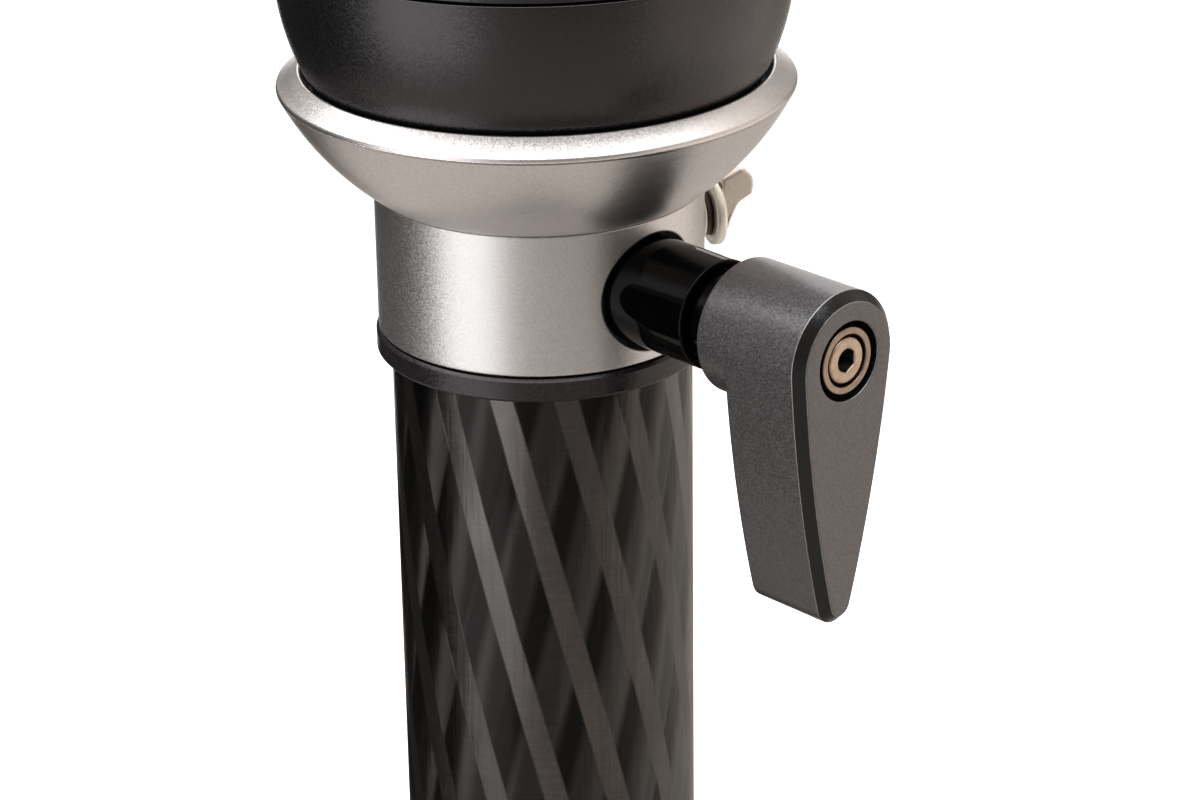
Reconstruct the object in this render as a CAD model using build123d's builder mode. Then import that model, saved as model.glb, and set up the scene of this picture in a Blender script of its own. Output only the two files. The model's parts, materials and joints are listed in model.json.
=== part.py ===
from build123d import *

import os
from math import asin, atan2, cos, degrees, radians, sin, sqrt

# Camera monopod with a levelling half ball, a clamping lever and a folding three-foot base.
# Millimetres. Z is up, the floor is z = 0 and the leg stands on the Z axis.
# The clamping lever's shaft points along +X. The leg is drawn closed and its feet are spread.

os.makedirs("parts", exist_ok=True)

# Clearances shared by the whole object
running = 0.06  # radial play of a shaft or sleeve that turns or slides
apart = 0.3  # least space between two pieces that move past each other
overrun = 5  # how far a cutting shape passes the piece that it cuts

# Leg tubes, the widest section first
section_count = 4
tube_diameter = 36
tube_step = 4
tube_wall = 1.5
top_tube_length = 480
tube_top_stagger = 6
spigot_to_tube_space = 8

# Twist locks under each of the three outer sections
sleeve_wall = 1.6
sleeve_grip_length = 14
sleeve_drop = 16
sleeve_shoulder = 0.4
sleeve_flange_height = 3
lock_collar_wall = 2
lock_lip_height = 3.6
lock_grip_thickness = 1.8
lock_grip_margin = 3
lock_grip_grooves = 20
lock_groove_radius = 0.9
guide_bush_length = 24
last_tube_stub = 11

# Folding base
foot_length = 150
foot_droop = 20  # degrees below level when the feet are spread
foot_boss_radius = 6
foot_root_height = 10.4
foot_tip_height = 7.6
foot_width = 11.6
foot_tip_gap = 4
foot_azimuths = (60, 180, 300)
pad_radius = 6.7
pad_length = 12
pad_edge = 1.5
hinge_pin_radius = 2
hub_radius = 27
hub_above_pivot = 15
hub_below_pivot = 14
hub_chamfer = 2
hub_floor_height = 6
slot_play = 0.2
base_journal_radius = 8
base_thread_radius = 5
base_washer_thickness = 1
base_washer_radius = 13
base_nut_radius = 10
base_nut_height = 4
plug_flange_proud = 2
plug_flange_height = 6
plug_length = 26

# Collar, trim ring and the spigot that is bonded into the top tube
collar_proud = 1.46  # of the tube
collar_side_height = 17.142
collar_edge = 0.25
trim_ring_proud = 0.29  # of the collar
trim_ring_height = 2.85
trim_ring_gap = 0.25
trim_ring_chamfer = 0.35
spigot_wall = 3.6
spigot_step = 0.9
spigot_depth = 30

# Half ball and bowl, with heights counted from the ball's centre
ball_radius = 30
ball_wall = 4
ball_tilt = 15  # degrees each way
ball_hole_margin = 1.1
seam_height = 2.3
seam_gap = 0.3
ball_ledge_height = 3.2
bowl_wall = 3.5
bowl_edge_angle = 26.26  # degrees below level
bowl_lip_angle = 25.24
lip_gap = 0.4
bowl_floor_flat = 2.7
liner_thickness = 0.8
liner_gap = 0.2
liner_seat_gap = 0.15
liner_top_angle = 30
liner_bottom_angle = 66
bowl_screw_radius = 1
bowl_screw_head_radius = 1.75
bowl_screw_head_height = 1.3
bowl_screw_length = 8
bowl_screw_count = 4
bowl_screw_recess = 1.04

# Platform that turns on the half ball
platform_height = 13
platform_chamfer = 1
platform_ledge_width = 4
platform_skirt_wall = 2.5
platform_skirt_drop = 3.4
platform_top_thickness = 6.5
platform_pad_margin = 3.41
pad_inner_radius = 8
pad_thickness = 1.5
pad_proud = 0.7
snap_ring_height = 1.1
snap_ring_depth = 0.8
snap_ring_reach = 1.6
stud_radius = 4.7625  # a 3/8 inch stud
stud_height = 12
stud_chamfer = 0.9
stud_flange_radius = 8
stud_flange_height = 3
stud_seat_radius = 5.5

# Draw bolt, clamp cap and release spring inside the ball
draw_bolt_radius = 3
draw_eye_depth = 7
draw_eye_width = 13.4
draw_eye_top_web = 1.53
draw_eye_web = 2.4
cap_gap = 0.25
cap_rim_angle = 38
cap_rim_height = 2.2
cap_hub_flat = 1.75
cap_nut_radius = 5.5
cap_nut_height = 4
draw_bolt_tip = 1
release_wire_radius = 0.45
release_coil_play = 0.75
release_turns = 4

# Cam shaft across the collar, with the lever's fixed pieces on its outer end
shaft_height = 8.32
cam_throw = 0.7
cam_radius = 3.2
cam_overhang = 0.5
cam_play = 0.25
cam_side_play = 0.35
cam_top_play = 0.35
journal_radius = 4
far_journal_radius = 2.4
far_bore_skin = 2.16
bush_radius = 6.49
bush_reach = 10.54
bush_chamfer = 0.25
bush_recess_radius = 5.9
bush_recess_depth = 0.6
collar_hole_radius = 7
collar_hole_depth = 2.06
flange_radius = 5.5
flange_length = 3.2
spindle_radius = 2.2
spindle_length = 4.5

# Clamping lever that lifts off its teeth to be set anew
lever_lean = 1.4  # degrees
lever_pull = 3.5
lever_thickness = 15.85
lever_hub_radius = 7.8
lever_hub_edge = 0.5
arm_head_radius = 7.87
arm_length = 31.8
arm_tip_radius = 2.6
arm_flank_radius = 166
arm_setback = 4.3
arm_face_chamfer = 1.2
tooth_count = 16
tooth_outer_radius = 5
tooth_inner_radius = 4.4
tooth_play = 0.12
tooth_length = 5.4
lever_entry_radius = 5.7
lever_web_thickness = 1.2
neck_radius = 2.7
lever_well_radius = 4.6
ring_radius = 3.86
ring_bore_radius = 3.05
ring_height = 3.3
ring_recess = 0.25
ring_floor = 0.7
screw_head_radius = 2.67
screw_head_height = 2.5
screw_radius = 1.5
screw_bite = 6.5
hex_width = 2.5
hex_depth = 1.5
lever_wire_radius = 0.28
lever_coil_radius = 3.3
lever_spring_turns = 4

# Small flag screw in the collar's side
side_azimuth = 62.7  # degrees from the lever's shaft
side_height = 10.6
side_neck_radius = 2.8
side_washer_radius = 3.9
side_neck_length = 1.54
side_washer_thickness = 1.2
side_stud_radius = 2
flag_thickness = 2.6
flag_root_radius = 1.9
flag_root_reach = 1.5
flag_rise = 5.7
flag_reach = 4.2
flag_waist_reach = 2.1
flag_low_rise = 2.6
flag_waist_rise = 1.3

# Heights and reaches that follow from the sizes above
pivot_height = foot_length * sin(radians(foot_droop)) + pad_radius
hub_bottom = pivot_height - hub_below_pivot
hub_top = pivot_height + hub_above_pivot
plug_bottom = hub_top + base_washer_thickness
last_tube_bottom = plug_bottom + plug_flange_height
lock_pitch = sleeve_grip_length + sleeve_flange_height + sleeve_drop + lock_lip_height + 2 * apart
lock_count = section_count - 1
lowest_lock = last_tube_bottom + last_tube_stub + lock_lip_height + sleeve_drop
lock_heights = [lowest_lock + lock_pitch * (lock_count - 1 - i) for i in range(lock_count)]
tube_radii = [(tube_diameter - tube_step * i) / 2 for i in range(section_count)]
tube_bores = [radius - tube_wall for radius in tube_radii]
collar_radius = tube_radii[0] + collar_proud
lip_sphere = ball_radius + lip_gap
bowl_radius = lip_sphere + bowl_wall
collar_bottom = lock_heights[0] + top_tube_length
centre_height = collar_bottom + collar_side_height + sqrt(bowl_radius**2 - collar_radius**2)
lever_height = collar_bottom + shaft_height

tube_bottoms = lock_heights + [last_tube_bottom]
inner_tube_top = collar_bottom - spigot_depth - spigot_to_tube_space
tube_tops = [collar_bottom] + [inner_tube_top - tube_top_stagger * i for i in range(lock_count)]

bush_face = collar_radius + bush_reach
flange_face = bush_face + apart + flange_length
lever_inner_face = flange_face + apart
lever_outer_face = lever_inner_face + lever_thickness
arm_inner_face = lever_inner_face + arm_setback
spindle_face = flange_face + spindle_length
screw_tip = spindle_face - screw_bite
tooth_face = lever_inner_face + tooth_length
ring_outer_face = lever_outer_face - ring_recess
ring_inner_face = ring_outer_face - ring_height

ball_plane = Plane(origin=(0, 0, centre_height), x_dir=(1, 0, 0), z_dir=(0, -1, 0))
shaft_plane = Plane(origin=(0, 0, lever_height), x_dir=(1, 0, 0), z_dir=(0, -1, 0))
shaft_axis = Axis((0, 0, lever_height), (1, 0, 0))


def turn(points, plane=Plane.XZ, axis=Axis.Z, mode=Mode.ADD):
    """Add the ring that a closed outline sweeps round an axis, or cut it away."""
    with BuildSketch(plane) as section:
        with BuildLine():
            Polyline(*points, close=True)
        make_face()
    revolve(section.sketch, axis=axis, mode=mode)


def ring_outline(bore, outer, low, high):
    """The four corners of a plain ring, each as a radius and a height."""
    return [(bore, low), (outer, low), (outer, high), (bore, high)]


def along_shaft(bore, outer, inner_face, outer_face):
    """The four corners of a ring round the lever's shaft, each as a reach and a radius."""
    return [(inner_face, bore), (outer_face, bore), (outer_face, outer), (inner_face, outer)]


def shell(outer, inner, region, mode=Mode.ADD):
    """Add or cut the layer between two balls round the ball's centre, kept inside a region."""
    with BuildSketch(ball_plane) as section:
        Circle(outer)
        if inner:
            Circle(inner, mode=Mode.SUBTRACT)
        with BuildLine():
            Polyline(*region, close=True)
        make_face(mode=Mode.INTERSECT)
    revolve(section.sketch, axis=Axis.Z, mode=mode)


def across_shaft(reach):
    """The plane across the lever's shaft at a reach from the leg's axis."""
    return Plane(origin=(reach, 0, lever_height), x_dir=(0, 1, 0), z_dir=(1, 0, 0))


def toothed_circle(outer, inner, mode=Mode.ADD):
    """Draw the outline of the lever's teeth, with a tip and a root for each tooth."""
    step = 360 / tooth_count
    radii = (outer, outer, inner, inner)
    tooth_shares = (-0.1, 0.1, 0.35, 0.65)
    points = [
        (radius * cos(radians((i + share) * step)), radius * sin(radians((i + share) * step)))
        for i in range(tooth_count)
        for radius, share in zip(radii, tooth_shares)
    ]
    with BuildLine() as outline:
        Polyline(*points, close=True)
    make_face(outline.edges(), mode=mode)


def coil(radius, wire_radius, length, turns, start, direction):
    """A round-wire spring that climbs from its start plane, as one open helix."""
    pitch = (length - 2 * wire_radius) / turns
    plane = Plane(origin=start, z_dir=direction)
    path_plane = plane.offset(wire_radius)
    path = path_plane.from_local_coords(Helix(pitch=pitch, height=pitch * turns, radius=radius))
    with BuildPart() as spring:
        with BuildSketch(Plane(origin=path @ 0, z_dir=path % 0)):
            Circle(wire_radius)
        sweep(path=path, is_frenet=True)
    return spring.part


def widest_circles(piece, count):
    """The round edges of a turned piece that have the largest radius."""
    return piece.edges().filter_by(GeomType.CIRCLE).sort_by(SortBy.RADIUS)[-count:]


def lowest_rim(piece):
    """The widest round edge at a turned piece's lower end."""
    rounds = piece.edges().filter_by(GeomType.CIRCLE)
    return rounds.group_by(Axis.Z)[0].sort_by(SortBy.RADIUS)[-1]


def keep(part, name):
    """Give a finished piece its name and write its STEP file."""
    part.label = name
    export_step(part, f"parts/{name}.step")


# Leg tubes
for i in range(section_count):
    with BuildPart() as tube:
        turn(ring_outline(tube_bores[i], tube_radii[i], tube_bottoms[i], tube_tops[i]))
    keep(tube.part, f"leg_tube_{i + 1}")

# Twist locks: a bonded sleeve, a turning collar with its rubber grip, a shim and a guide bush
for i, lock in enumerate(lock_heights):
    sleeve_outer = tube_radii[i] + sleeve_wall
    seat_bore = tube_radii[i] - sleeve_shoulder
    sleeve_top = lock + sleeve_grip_length
    sleeve_bottom = lock - sleeve_drop
    collar_bore = sleeve_outer + running
    collar_outer = collar_bore + lock_collar_wall
    grip_outer = collar_outer + lock_grip_thickness
    lip_bottom = sleeve_bottom - lock_lip_height
    next_radius = tube_radii[i + 1]

    with BuildPart() as sleeve:
        turn([
            (seat_bore, sleeve_bottom),
            (sleeve_outer, sleeve_bottom),
            (sleeve_outer, sleeve_top),
            (collar_outer, sleeve_top),
            (collar_outer, sleeve_top + sleeve_flange_height),
            (tube_radii[i], sleeve_top + sleeve_flange_height),
            (tube_radii[i], lock),
            (seat_bore, lock),
        ])
        fillet(widest_circles(sleeve, 2), sleeve_wall / 2)
    keep(sleeve.part, f"lock_sleeve_{i + 1}")

    with BuildPart() as lock_collar:
        turn([
            (next_radius + apart, lip_bottom),
            (collar_outer, lip_bottom),
            (collar_outer, sleeve_top - apart),
            (collar_bore, sleeve_top - apart),
            (collar_bore, sleeve_bottom - apart),
            (next_radius + apart, sleeve_bottom - apart),
        ])
        chamfer(lowest_rim(lock_collar), lock_collar_wall / 2)
    keep(lock_collar.part, f"lock_collar_{i + 1}")

    grip_low = lip_bottom + lock_grip_margin
    grip_high = sleeve_top - lock_grip_margin
    with BuildPart() as grip:
        turn(ring_outline(collar_outer, grip_outer, grip_low, grip_high))
        fillet(widest_circles(grip, 2), lock_grip_thickness / 2)
        with BuildSketch(Plane.XY.offset(grip_low - overrun)):
            with PolarLocations(grip_outer, lock_grip_grooves):
                Circle(lock_groove_radius)
        extrude(amount=grip_high - grip_low + 2 * overrun, mode=Mode.SUBTRACT)
    keep(grip.part, f"lock_grip_{i + 1}")

    with BuildPart() as shim:
        turn(ring_outline(next_radius + running, seat_bore, sleeve_bottom, lock - apart))
    keep(shim.part, f"lock_shim_{i + 1}")

    with BuildPart() as guide:
        turn(ring_outline(
            next_radius, tube_bores[i] - running, tube_tops[i + 1] - guide_bush_length, tube_tops[i + 1]
        ))
    keep(guide.part, f"guide_bush_{i + 2}")

# Foot plug: bonded in the last tube, with a flange and the journal that the base turns on
hub_floor = hub_bottom + hub_floor_height
thread_end = hub_floor - base_nut_height - apart
plug_flange_radius = tube_radii[-1] + plug_flange_proud
with BuildPart() as plug:
    turn([
        (0, thread_end),
        (base_thread_radius, thread_end),
        (base_thread_radius, hub_floor - apart),
        (base_journal_radius, hub_floor - apart),
        (base_journal_radius, plug_bottom),
        (plug_flange_radius, plug_bottom),
        (plug_flange_radius, last_tube_bottom),
        (tube_bores[-1], last_tube_bottom),
        (tube_bores[-1], last_tube_bottom + plug_length),
        (0, last_tube_bottom + plug_length),
    ])
    chamfer(widest_circles(plug, 2), plug_flange_height / 6)
keep(plug.part, "base_plug")

with BuildPart() as base_washer:
    turn(ring_outline(base_journal_radius + running, base_washer_radius, hub_top, plug_bottom - running))
keep(base_washer.part, "base_washer")

with BuildPart() as base_nut:
    turn(ring_outline(base_thread_radius, base_nut_radius, thread_end, hub_floor - apart))
keep(base_nut.part, "base_nut")

# Base hub: a round block with three slots for the feet, turning on the plug's journal
hinge_circle_radius = hub_radius - foot_boss_radius
boss_room = foot_boss_radius + apart
slot_inner_radius = hinge_circle_radius - boss_room
with BuildPart() as hub:
    turn([
        (base_nut_radius + running, hub_bottom),
        (hub_radius, hub_bottom),
        (hub_radius, hub_top),
        (base_journal_radius + running, hub_top),
        (base_journal_radius + running, hub_floor),
        (base_nut_radius + running, hub_floor),
    ])
    chamfer(widest_circles(hub, 2), hub_chamfer)
    for azimuth in foot_azimuths:
        outward = Vector(cos(radians(azimuth)), sin(radians(azimuth)), 0)
        across = Vector(-sin(radians(azimuth)), cos(radians(azimuth)), 0)
        slot_plane = Plane(origin=across * (-foot_width / 2 - slot_play), x_dir=outward, z_dir=across)
        # on this plane the second direction points down
        slot_top = -(pivot_height + boss_room)
        slot_foot = -(hub_bottom - overrun)
        slot_end = hub_radius + overrun
        with BuildSketch(slot_plane):
            with BuildLine():
                Polyline(
                    (slot_inner_radius, slot_top),
                    (slot_end, slot_top),
                    (slot_end, slot_foot),
                    (slot_inner_radius, slot_foot),
                    close=True,
                )
            make_face()
        extrude(amount=foot_width + 2 * slot_play, mode=Mode.SUBTRACT)
        pin_centre = outward * hinge_circle_radius + Vector(0, 0, pivot_height)
        with BuildSketch(Plane(origin=pin_centre, x_dir=outward, z_dir=across)):
            Circle(hinge_pin_radius)
        extrude(amount=hub_radius, both=True, mode=Mode.SUBTRACT)
keep(hub.part, "base_hub")

# Feet: a tapered bar on a cross pin, with a rubber boot on its end
pin_half_length = sqrt(hub_radius**2 - hinge_circle_radius**2) - hub_chamfer / 2
for i, azimuth in enumerate(foot_azimuths):
    outward = Vector(cos(radians(azimuth)), sin(radians(azimuth)), 0)
    across = Vector(-sin(radians(azimuth)), cos(radians(azimuth)), 0)
    pin_centre = outward * hinge_circle_radius + Vector(0, 0, pivot_height)
    along = outward * cos(radians(foot_droop)) - Vector(0, 0, sin(radians(foot_droop)))
    foot_plane = Plane(origin=pin_centre, x_dir=along, z_dir=-across)

    with BuildPart() as pin:
        with BuildSketch(foot_plane):
            Circle(hinge_pin_radius)
        extrude(amount=pin_half_length, both=True)
    keep(pin.part, f"foot_pin_{i + 1}")

    bar_end = foot_length - foot_tip_gap
    with BuildPart() as foot:
        with BuildSketch(foot_plane):
            Circle(foot_boss_radius)
            with BuildLine():
                Polyline(
                    (0, -foot_root_height / 2),
                    (bar_end, -foot_tip_height / 2),
                    (bar_end, foot_tip_height / 2),
                    (0, foot_root_height / 2),
                    close=True,
                )
            make_face()
            Circle(hinge_pin_radius + running, mode=Mode.SUBTRACT)
        extrude(amount=foot_width / 2, both=True)
    keep(foot.part, f"foot_arm_{i + 1}")

    with BuildPart() as boot:
        with BuildSketch(foot_plane):
            with Locations((foot_length, 0)):
                Circle(pad_radius)
            with Locations((foot_length - pad_length / 2, 0)):
                Rectangle(pad_length, 2 * pad_radius)
        extrude(amount=pad_radius, both=True)
        side_faces = boot.faces().filter_by(Axis(pin_centre, across))
        fillet(side_faces.edges(), pad_edge)
        add(foot.part, mode=Mode.SUBTRACT)
    keep(boot.part, f"foot_boot_{i + 1}")

# Spigot: bonded in the top tube, standing up inside the collar, with the bowl screwed to it
spigot_outer = tube_bores[0] - spigot_step
spigot_bore_radius = spigot_outer - spigot_wall
bowl_screw_circle = spigot_bore_radius + spigot_wall / 2
screw_spots = PolarLocations(bowl_screw_circle, bowl_screw_count, start_angle=180 / bowl_screw_count)
bowl_inside_drop = sqrt(lip_sphere**2 - (bowl_screw_circle - bowl_screw_head_radius) ** 2)
screw_head_top = centre_height - bowl_inside_drop - bowl_screw_recess
screw_head_bottom = screw_head_top - bowl_screw_head_height


def bowl_screw_holes():
    """Cut the plain shanks' holes through the piece that is being made."""
    with BuildSketch(Plane.XY.offset(screw_head_bottom - bowl_screw_length)) as holes:
        with screw_spots:
            Circle(bowl_screw_radius)
    extrude(holes.sketch, amount=bowl_screw_length + overrun, mode=Mode.SUBTRACT)


spigot_low = collar_bottom - spigot_depth
bowl_floor_drop = bowl_radius - bowl_floor_flat
spigot_high = centre_height - bowl_floor_drop
with BuildPart() as spigot:
    turn([
        (spigot_bore_radius, spigot_low),
        (tube_bores[0], spigot_low),
        (tube_bores[0], collar_bottom),
        (spigot_outer, collar_bottom),
        (spigot_outer, spigot_high),
        (spigot_bore_radius, spigot_high),
    ])
    shaft_room = along_shaft(0, journal_radius + running, 0, collar_radius)
    turn(shaft_room, shaft_plane, shaft_axis, Mode.SUBTRACT)
    far_room = along_shaft(0, far_journal_radius + running, -collar_radius, 0)
    turn(far_room, shaft_plane, shaft_axis, Mode.SUBTRACT)
    bowl_screw_holes()
keep(spigot.part, "leg_spigot")

# Trim ring round the top of the tube, a hair under the collar
trim_top = collar_bottom - trim_ring_gap
trim_ring_radius = collar_radius + trim_ring_proud
with BuildPart() as trim_ring:
    turn(ring_outline(tube_radii[0], trim_ring_radius, trim_top - trim_ring_height, trim_top))
    chamfer(widest_circles(trim_ring, 2), trim_ring_chamfer)
keep(trim_ring.part, "trim_ring")

# Bowl: a layer of the ball's own centre, with a bevelled rim and a pocket for its liner
bowl_edge_radius = bowl_radius * cos(radians(bowl_edge_angle))
edge_drop = bowl_radius * sin(radians(bowl_edge_angle))
bowl_lip_radius = lip_sphere * cos(radians(bowl_lip_angle))
lip_drop = lip_sphere * sin(radians(bowl_lip_angle))
bowl_hole_radius = draw_bolt_radius + running
liner_top_drop = ball_radius * sin(radians(liner_top_angle))
liner_bottom_drop = ball_radius * sin(radians(liner_bottom_angle))
pocket_radius = ball_radius + liner_gap + liner_thickness + liner_seat_gap
with BuildPart() as bowl:
    shell(bowl_radius, lip_sphere, [
        (bowl_hole_radius, -bowl_floor_drop),
        (bowl_radius, -bowl_floor_drop),
        (bowl_radius, -edge_drop),
        (bowl_edge_radius, -edge_drop),
        (bowl_lip_radius, -lip_drop),
        (bowl_hole_radius, -lip_drop),
    ])
    shell(pocket_radius, lip_sphere - overrun, [
        (0, -liner_bottom_drop),
        (bowl_radius, -liner_bottom_drop),
        (bowl_radius, -liner_top_drop),
        (0, -liner_top_drop),
    ], Mode.SUBTRACT)
    with BuildSketch(Plane.XY.offset(screw_head_bottom)):
        with screw_spots:
            Circle(bowl_screw_head_radius)
    extrude(amount=bowl_screw_length, mode=Mode.SUBTRACT)
    bowl_screw_holes()
keep(bowl.part, "bowl")

with BuildPart() as bowl_screws:
    with BuildSketch(Plane.XY.offset(screw_head_bottom)):
        with screw_spots:
            Circle(bowl_screw_head_radius)
    extrude(amount=bowl_screw_head_height)
    with BuildSketch(Plane.XY.offset(screw_head_bottom - bowl_screw_length)):
        with screw_spots:
            Circle(bowl_screw_radius)
    extrude(amount=bowl_screw_length)
keep(bowl_screws.part, "bowl_screws")

# Liner: the thin friction ring that the ball rests on, free to turn in the bowl's pocket
liner_inner = ball_radius + liner_gap
with BuildPart() as liner:
    shell(liner_inner + liner_thickness, liner_inner, [
        (0, liner_seat_gap - liner_bottom_drop),
        (bowl_radius, liner_seat_gap - liner_bottom_drop),
        (bowl_radius, -liner_seat_gap - liner_top_drop),
        (0, -liner_seat_gap - liner_top_drop),
    ])
keep(liner.part, "bowl_liner")

# Collar: turned under the bowl, bored for the spigot, the lever's bush and the flag screw
side_out = Vector(cos(radians(side_azimuth)), sin(radians(side_azimuth)), 0)
side_across = Vector(-sin(radians(side_azimuth)), cos(radians(side_azimuth)), 0)
side_start = Vector(0, 0, collar_bottom + side_height)
side_plane = Plane(origin=side_start, x_dir=side_out, z_dir=-side_across)
side_axis = Axis(side_start, side_out)
collar_hole_seat = collar_radius - collar_hole_depth
far_bore_end = collar_radius - far_bore_skin
with BuildPart() as collar:
    turn(ring_outline(spigot_outer, collar_radius, collar_bottom, centre_height))
    chamfer(lowest_rim(collar), collar_edge)
    shell(bowl_radius, 0, [
        (0, -bowl_radius),
        (bowl_radius, -bowl_radius),
        (bowl_radius, 0),
        (0, 0),
    ], Mode.SUBTRACT)
    turn([
        (0, 0),
        (collar_radius + overrun, 0),
        (collar_radius + overrun, collar_hole_radius),
        (collar_hole_seat, collar_hole_radius),
        (collar_hole_seat, bush_radius),
        (0, bush_radius),
    ], shaft_plane, shaft_axis, Mode.SUBTRACT)
    far_bore = along_shaft(0, far_journal_radius + running, -far_bore_end, 0)
    turn(far_bore, shaft_plane, shaft_axis, Mode.SUBTRACT)
    stud_bore = along_shaft(0, side_stud_radius + running, 0, collar_radius + overrun)
    turn(stud_bore, side_plane, side_axis, Mode.SUBTRACT)
keep(collar.part, "collar")

# Half ball: a hollow ball cut off at its seam, open below for the draw bolt at any tilt
ball_top = seam_height - seam_gap / 2
cavity_radius = ball_radius - ball_wall
skirt_radius = cavity_radius - platform_ledge_width
platform_pocket_radius = skirt_radius - platform_skirt_wall
ledge_bore = skirt_radius + running
ledge_low = ball_top - ball_ledge_height
bolt_swing = ball_radius * sin(radians(ball_tilt))
release_coil_radius = draw_bolt_radius + release_wire_radius + release_coil_play
ball_hole_radius = release_coil_radius + release_wire_radius + bolt_swing + ball_hole_margin
with BuildPart() as half_ball:
    shell(ball_radius, cavity_radius, [
        (ball_hole_radius, -ball_radius),
        (ball_radius, -ball_radius),
        (ball_radius, ball_top),
        (ball_hole_radius, ball_top),
    ])
    ledge_outer = cavity_radius + ball_wall / 2
    turn([
        (ledge_bore, ledge_low),
        (ledge_outer, ledge_low),
        (ledge_outer, ball_top),
        (ledge_bore, ball_top),
    ], ball_plane)
keep(half_ball.part, "half_ball")

# Platform: the turntable over the seam, with a skirt that hooks under the ball's ledge
platform_radius = sqrt(ball_radius**2 - seam_height**2)
pad_outer_radius = platform_radius - platform_pad_margin
platform_low = seam_height + seam_gap / 2
platform_high = platform_low + platform_height
ring_high = ledge_low - apart
ring_low = ring_high - snap_ring_height
groove_radius = skirt_radius - snap_ring_depth
pad_floor = platform_high + pad_proud - pad_thickness
pocket_top = platform_high - platform_top_thickness
with BuildPart() as platform:
    turn([
        (stud_seat_radius, pocket_top),
        (platform_pocket_radius, pocket_top),
        (platform_pocket_radius, -platform_skirt_drop),
        (skirt_radius, -platform_skirt_drop),
        (skirt_radius, ring_low),
        (groove_radius, ring_low),
        (groove_radius, ring_high),
        (skirt_radius, ring_high),
        (skirt_radius, platform_low),
        (platform_radius, platform_low),
        (platform_radius, platform_high - platform_chamfer),
        (platform_radius - platform_chamfer, platform_high),
        (pad_outer_radius, platform_high),
        (pad_outer_radius, pad_floor),
        (pad_inner_radius, pad_floor),
        (pad_inner_radius, platform_high),
        (stud_seat_radius, platform_high),
    ], ball_plane)
keep(platform.part, "platform")

with BuildPart() as snap_ring:
    turn(ring_outline(groove_radius, skirt_radius + snap_ring_reach, ring_low, ring_high), ball_plane)
keep(snap_ring.part, "platform_snap_ring")

with BuildPart() as platform_pad:
    turn(ring_outline(pad_inner_radius, pad_outer_radius, pad_floor, pad_floor + pad_thickness), ball_plane)
keep(platform_pad.part, "platform_pad")

stud_tip = pad_floor + pad_thickness + stud_height
with BuildPart() as camera_stud:
    turn([
        (0, pocket_top - stud_flange_height),
        (stud_flange_radius, pocket_top - stud_flange_height),
        (stud_flange_radius, pocket_top),
        (stud_seat_radius, pocket_top),
        (stud_seat_radius, platform_high),
        (stud_radius, platform_high),
        (stud_radius, stud_tip - stud_chamfer),
        (stud_radius - stud_chamfer, stud_tip),
        (0, stud_tip),
    ], ball_plane)
keep(camera_stud.part, "camera_stud")

# Draw bolt: an eye over the cam, and a shank up through the bowl to the clamp cap
cap_sphere = cavity_radius - cap_gap
cap_rim_radius = cap_sphere * cos(radians(cap_rim_angle))
cap_rim_low = -cap_sphere * sin(radians(cap_rim_angle))
cap_hub_drop = cap_sphere - cap_hub_flat
cap_top = cap_rim_low + cap_rim_height
nut_top = cap_top + cap_nut_height
bolt_top = centre_height + nut_top + draw_bolt_tip
cam_centre = lever_height - cam_throw
window_low = cam_centre - cam_radius - cam_play
window_high = cam_centre + cam_radius + cam_top_play
eye_low = window_low - draw_eye_web
eye_top = window_high + draw_eye_top_web
window_width = 2 * (cam_radius + cam_throw + cam_side_play)
with BuildPart() as draw_bolt:
    with BuildSketch(Plane.XY.offset(eye_low)):
        Rectangle(draw_eye_depth, draw_eye_width)
    extrude(amount=eye_top - eye_low)
    with BuildSketch(Plane.YZ.offset(-draw_eye_depth)):
        with Locations((0, (window_low + window_high) / 2)):
            Rectangle(window_width, window_high - window_low)
    extrude(amount=2 * draw_eye_depth, mode=Mode.SUBTRACT)
    with BuildSketch(Plane.XY.offset(eye_top)):
        Circle(draw_bolt_radius)
    extrude(amount=bolt_top - eye_top)
keep(draw_bolt.part, "draw_bolt")

with BuildPart() as clamp_cap:
    shell(cap_sphere, 0, [
        (0, -cap_hub_drop),
        (cap_rim_radius, -cap_hub_drop),
        (cap_rim_radius, cap_top),
        (0, cap_top),
    ])
    with BuildSketch(Plane.XY.offset(centre_height - cap_hub_drop)):
        Circle(draw_bolt_radius)
    extrude(amount=cap_hub_drop, mode=Mode.SUBTRACT)
keep(clamp_cap.part, "clamp_cap")

with BuildPart() as cap_nut:
    with BuildSketch(Plane.XY.offset(centre_height + cap_top)):
        RegularPolygon(cap_nut_radius, 6)
        Circle(draw_bolt_radius, mode=Mode.SUBTRACT)
    extrude(amount=cap_nut_height)
keep(cap_nut.part, "cap_nut")

spring_floor = centre_height - sqrt(lip_sphere**2 - (release_coil_radius + release_wire_radius) ** 2)
spring_low = spring_floor + apart / 3
spring_length = centre_height - cap_hub_drop - spring_low
release_spring = coil(
    release_coil_radius, release_wire_radius, spring_length, release_turns, (0, 0, spring_low), (0, 0, 1)
)
keep(release_spring, "release_spring")

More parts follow.
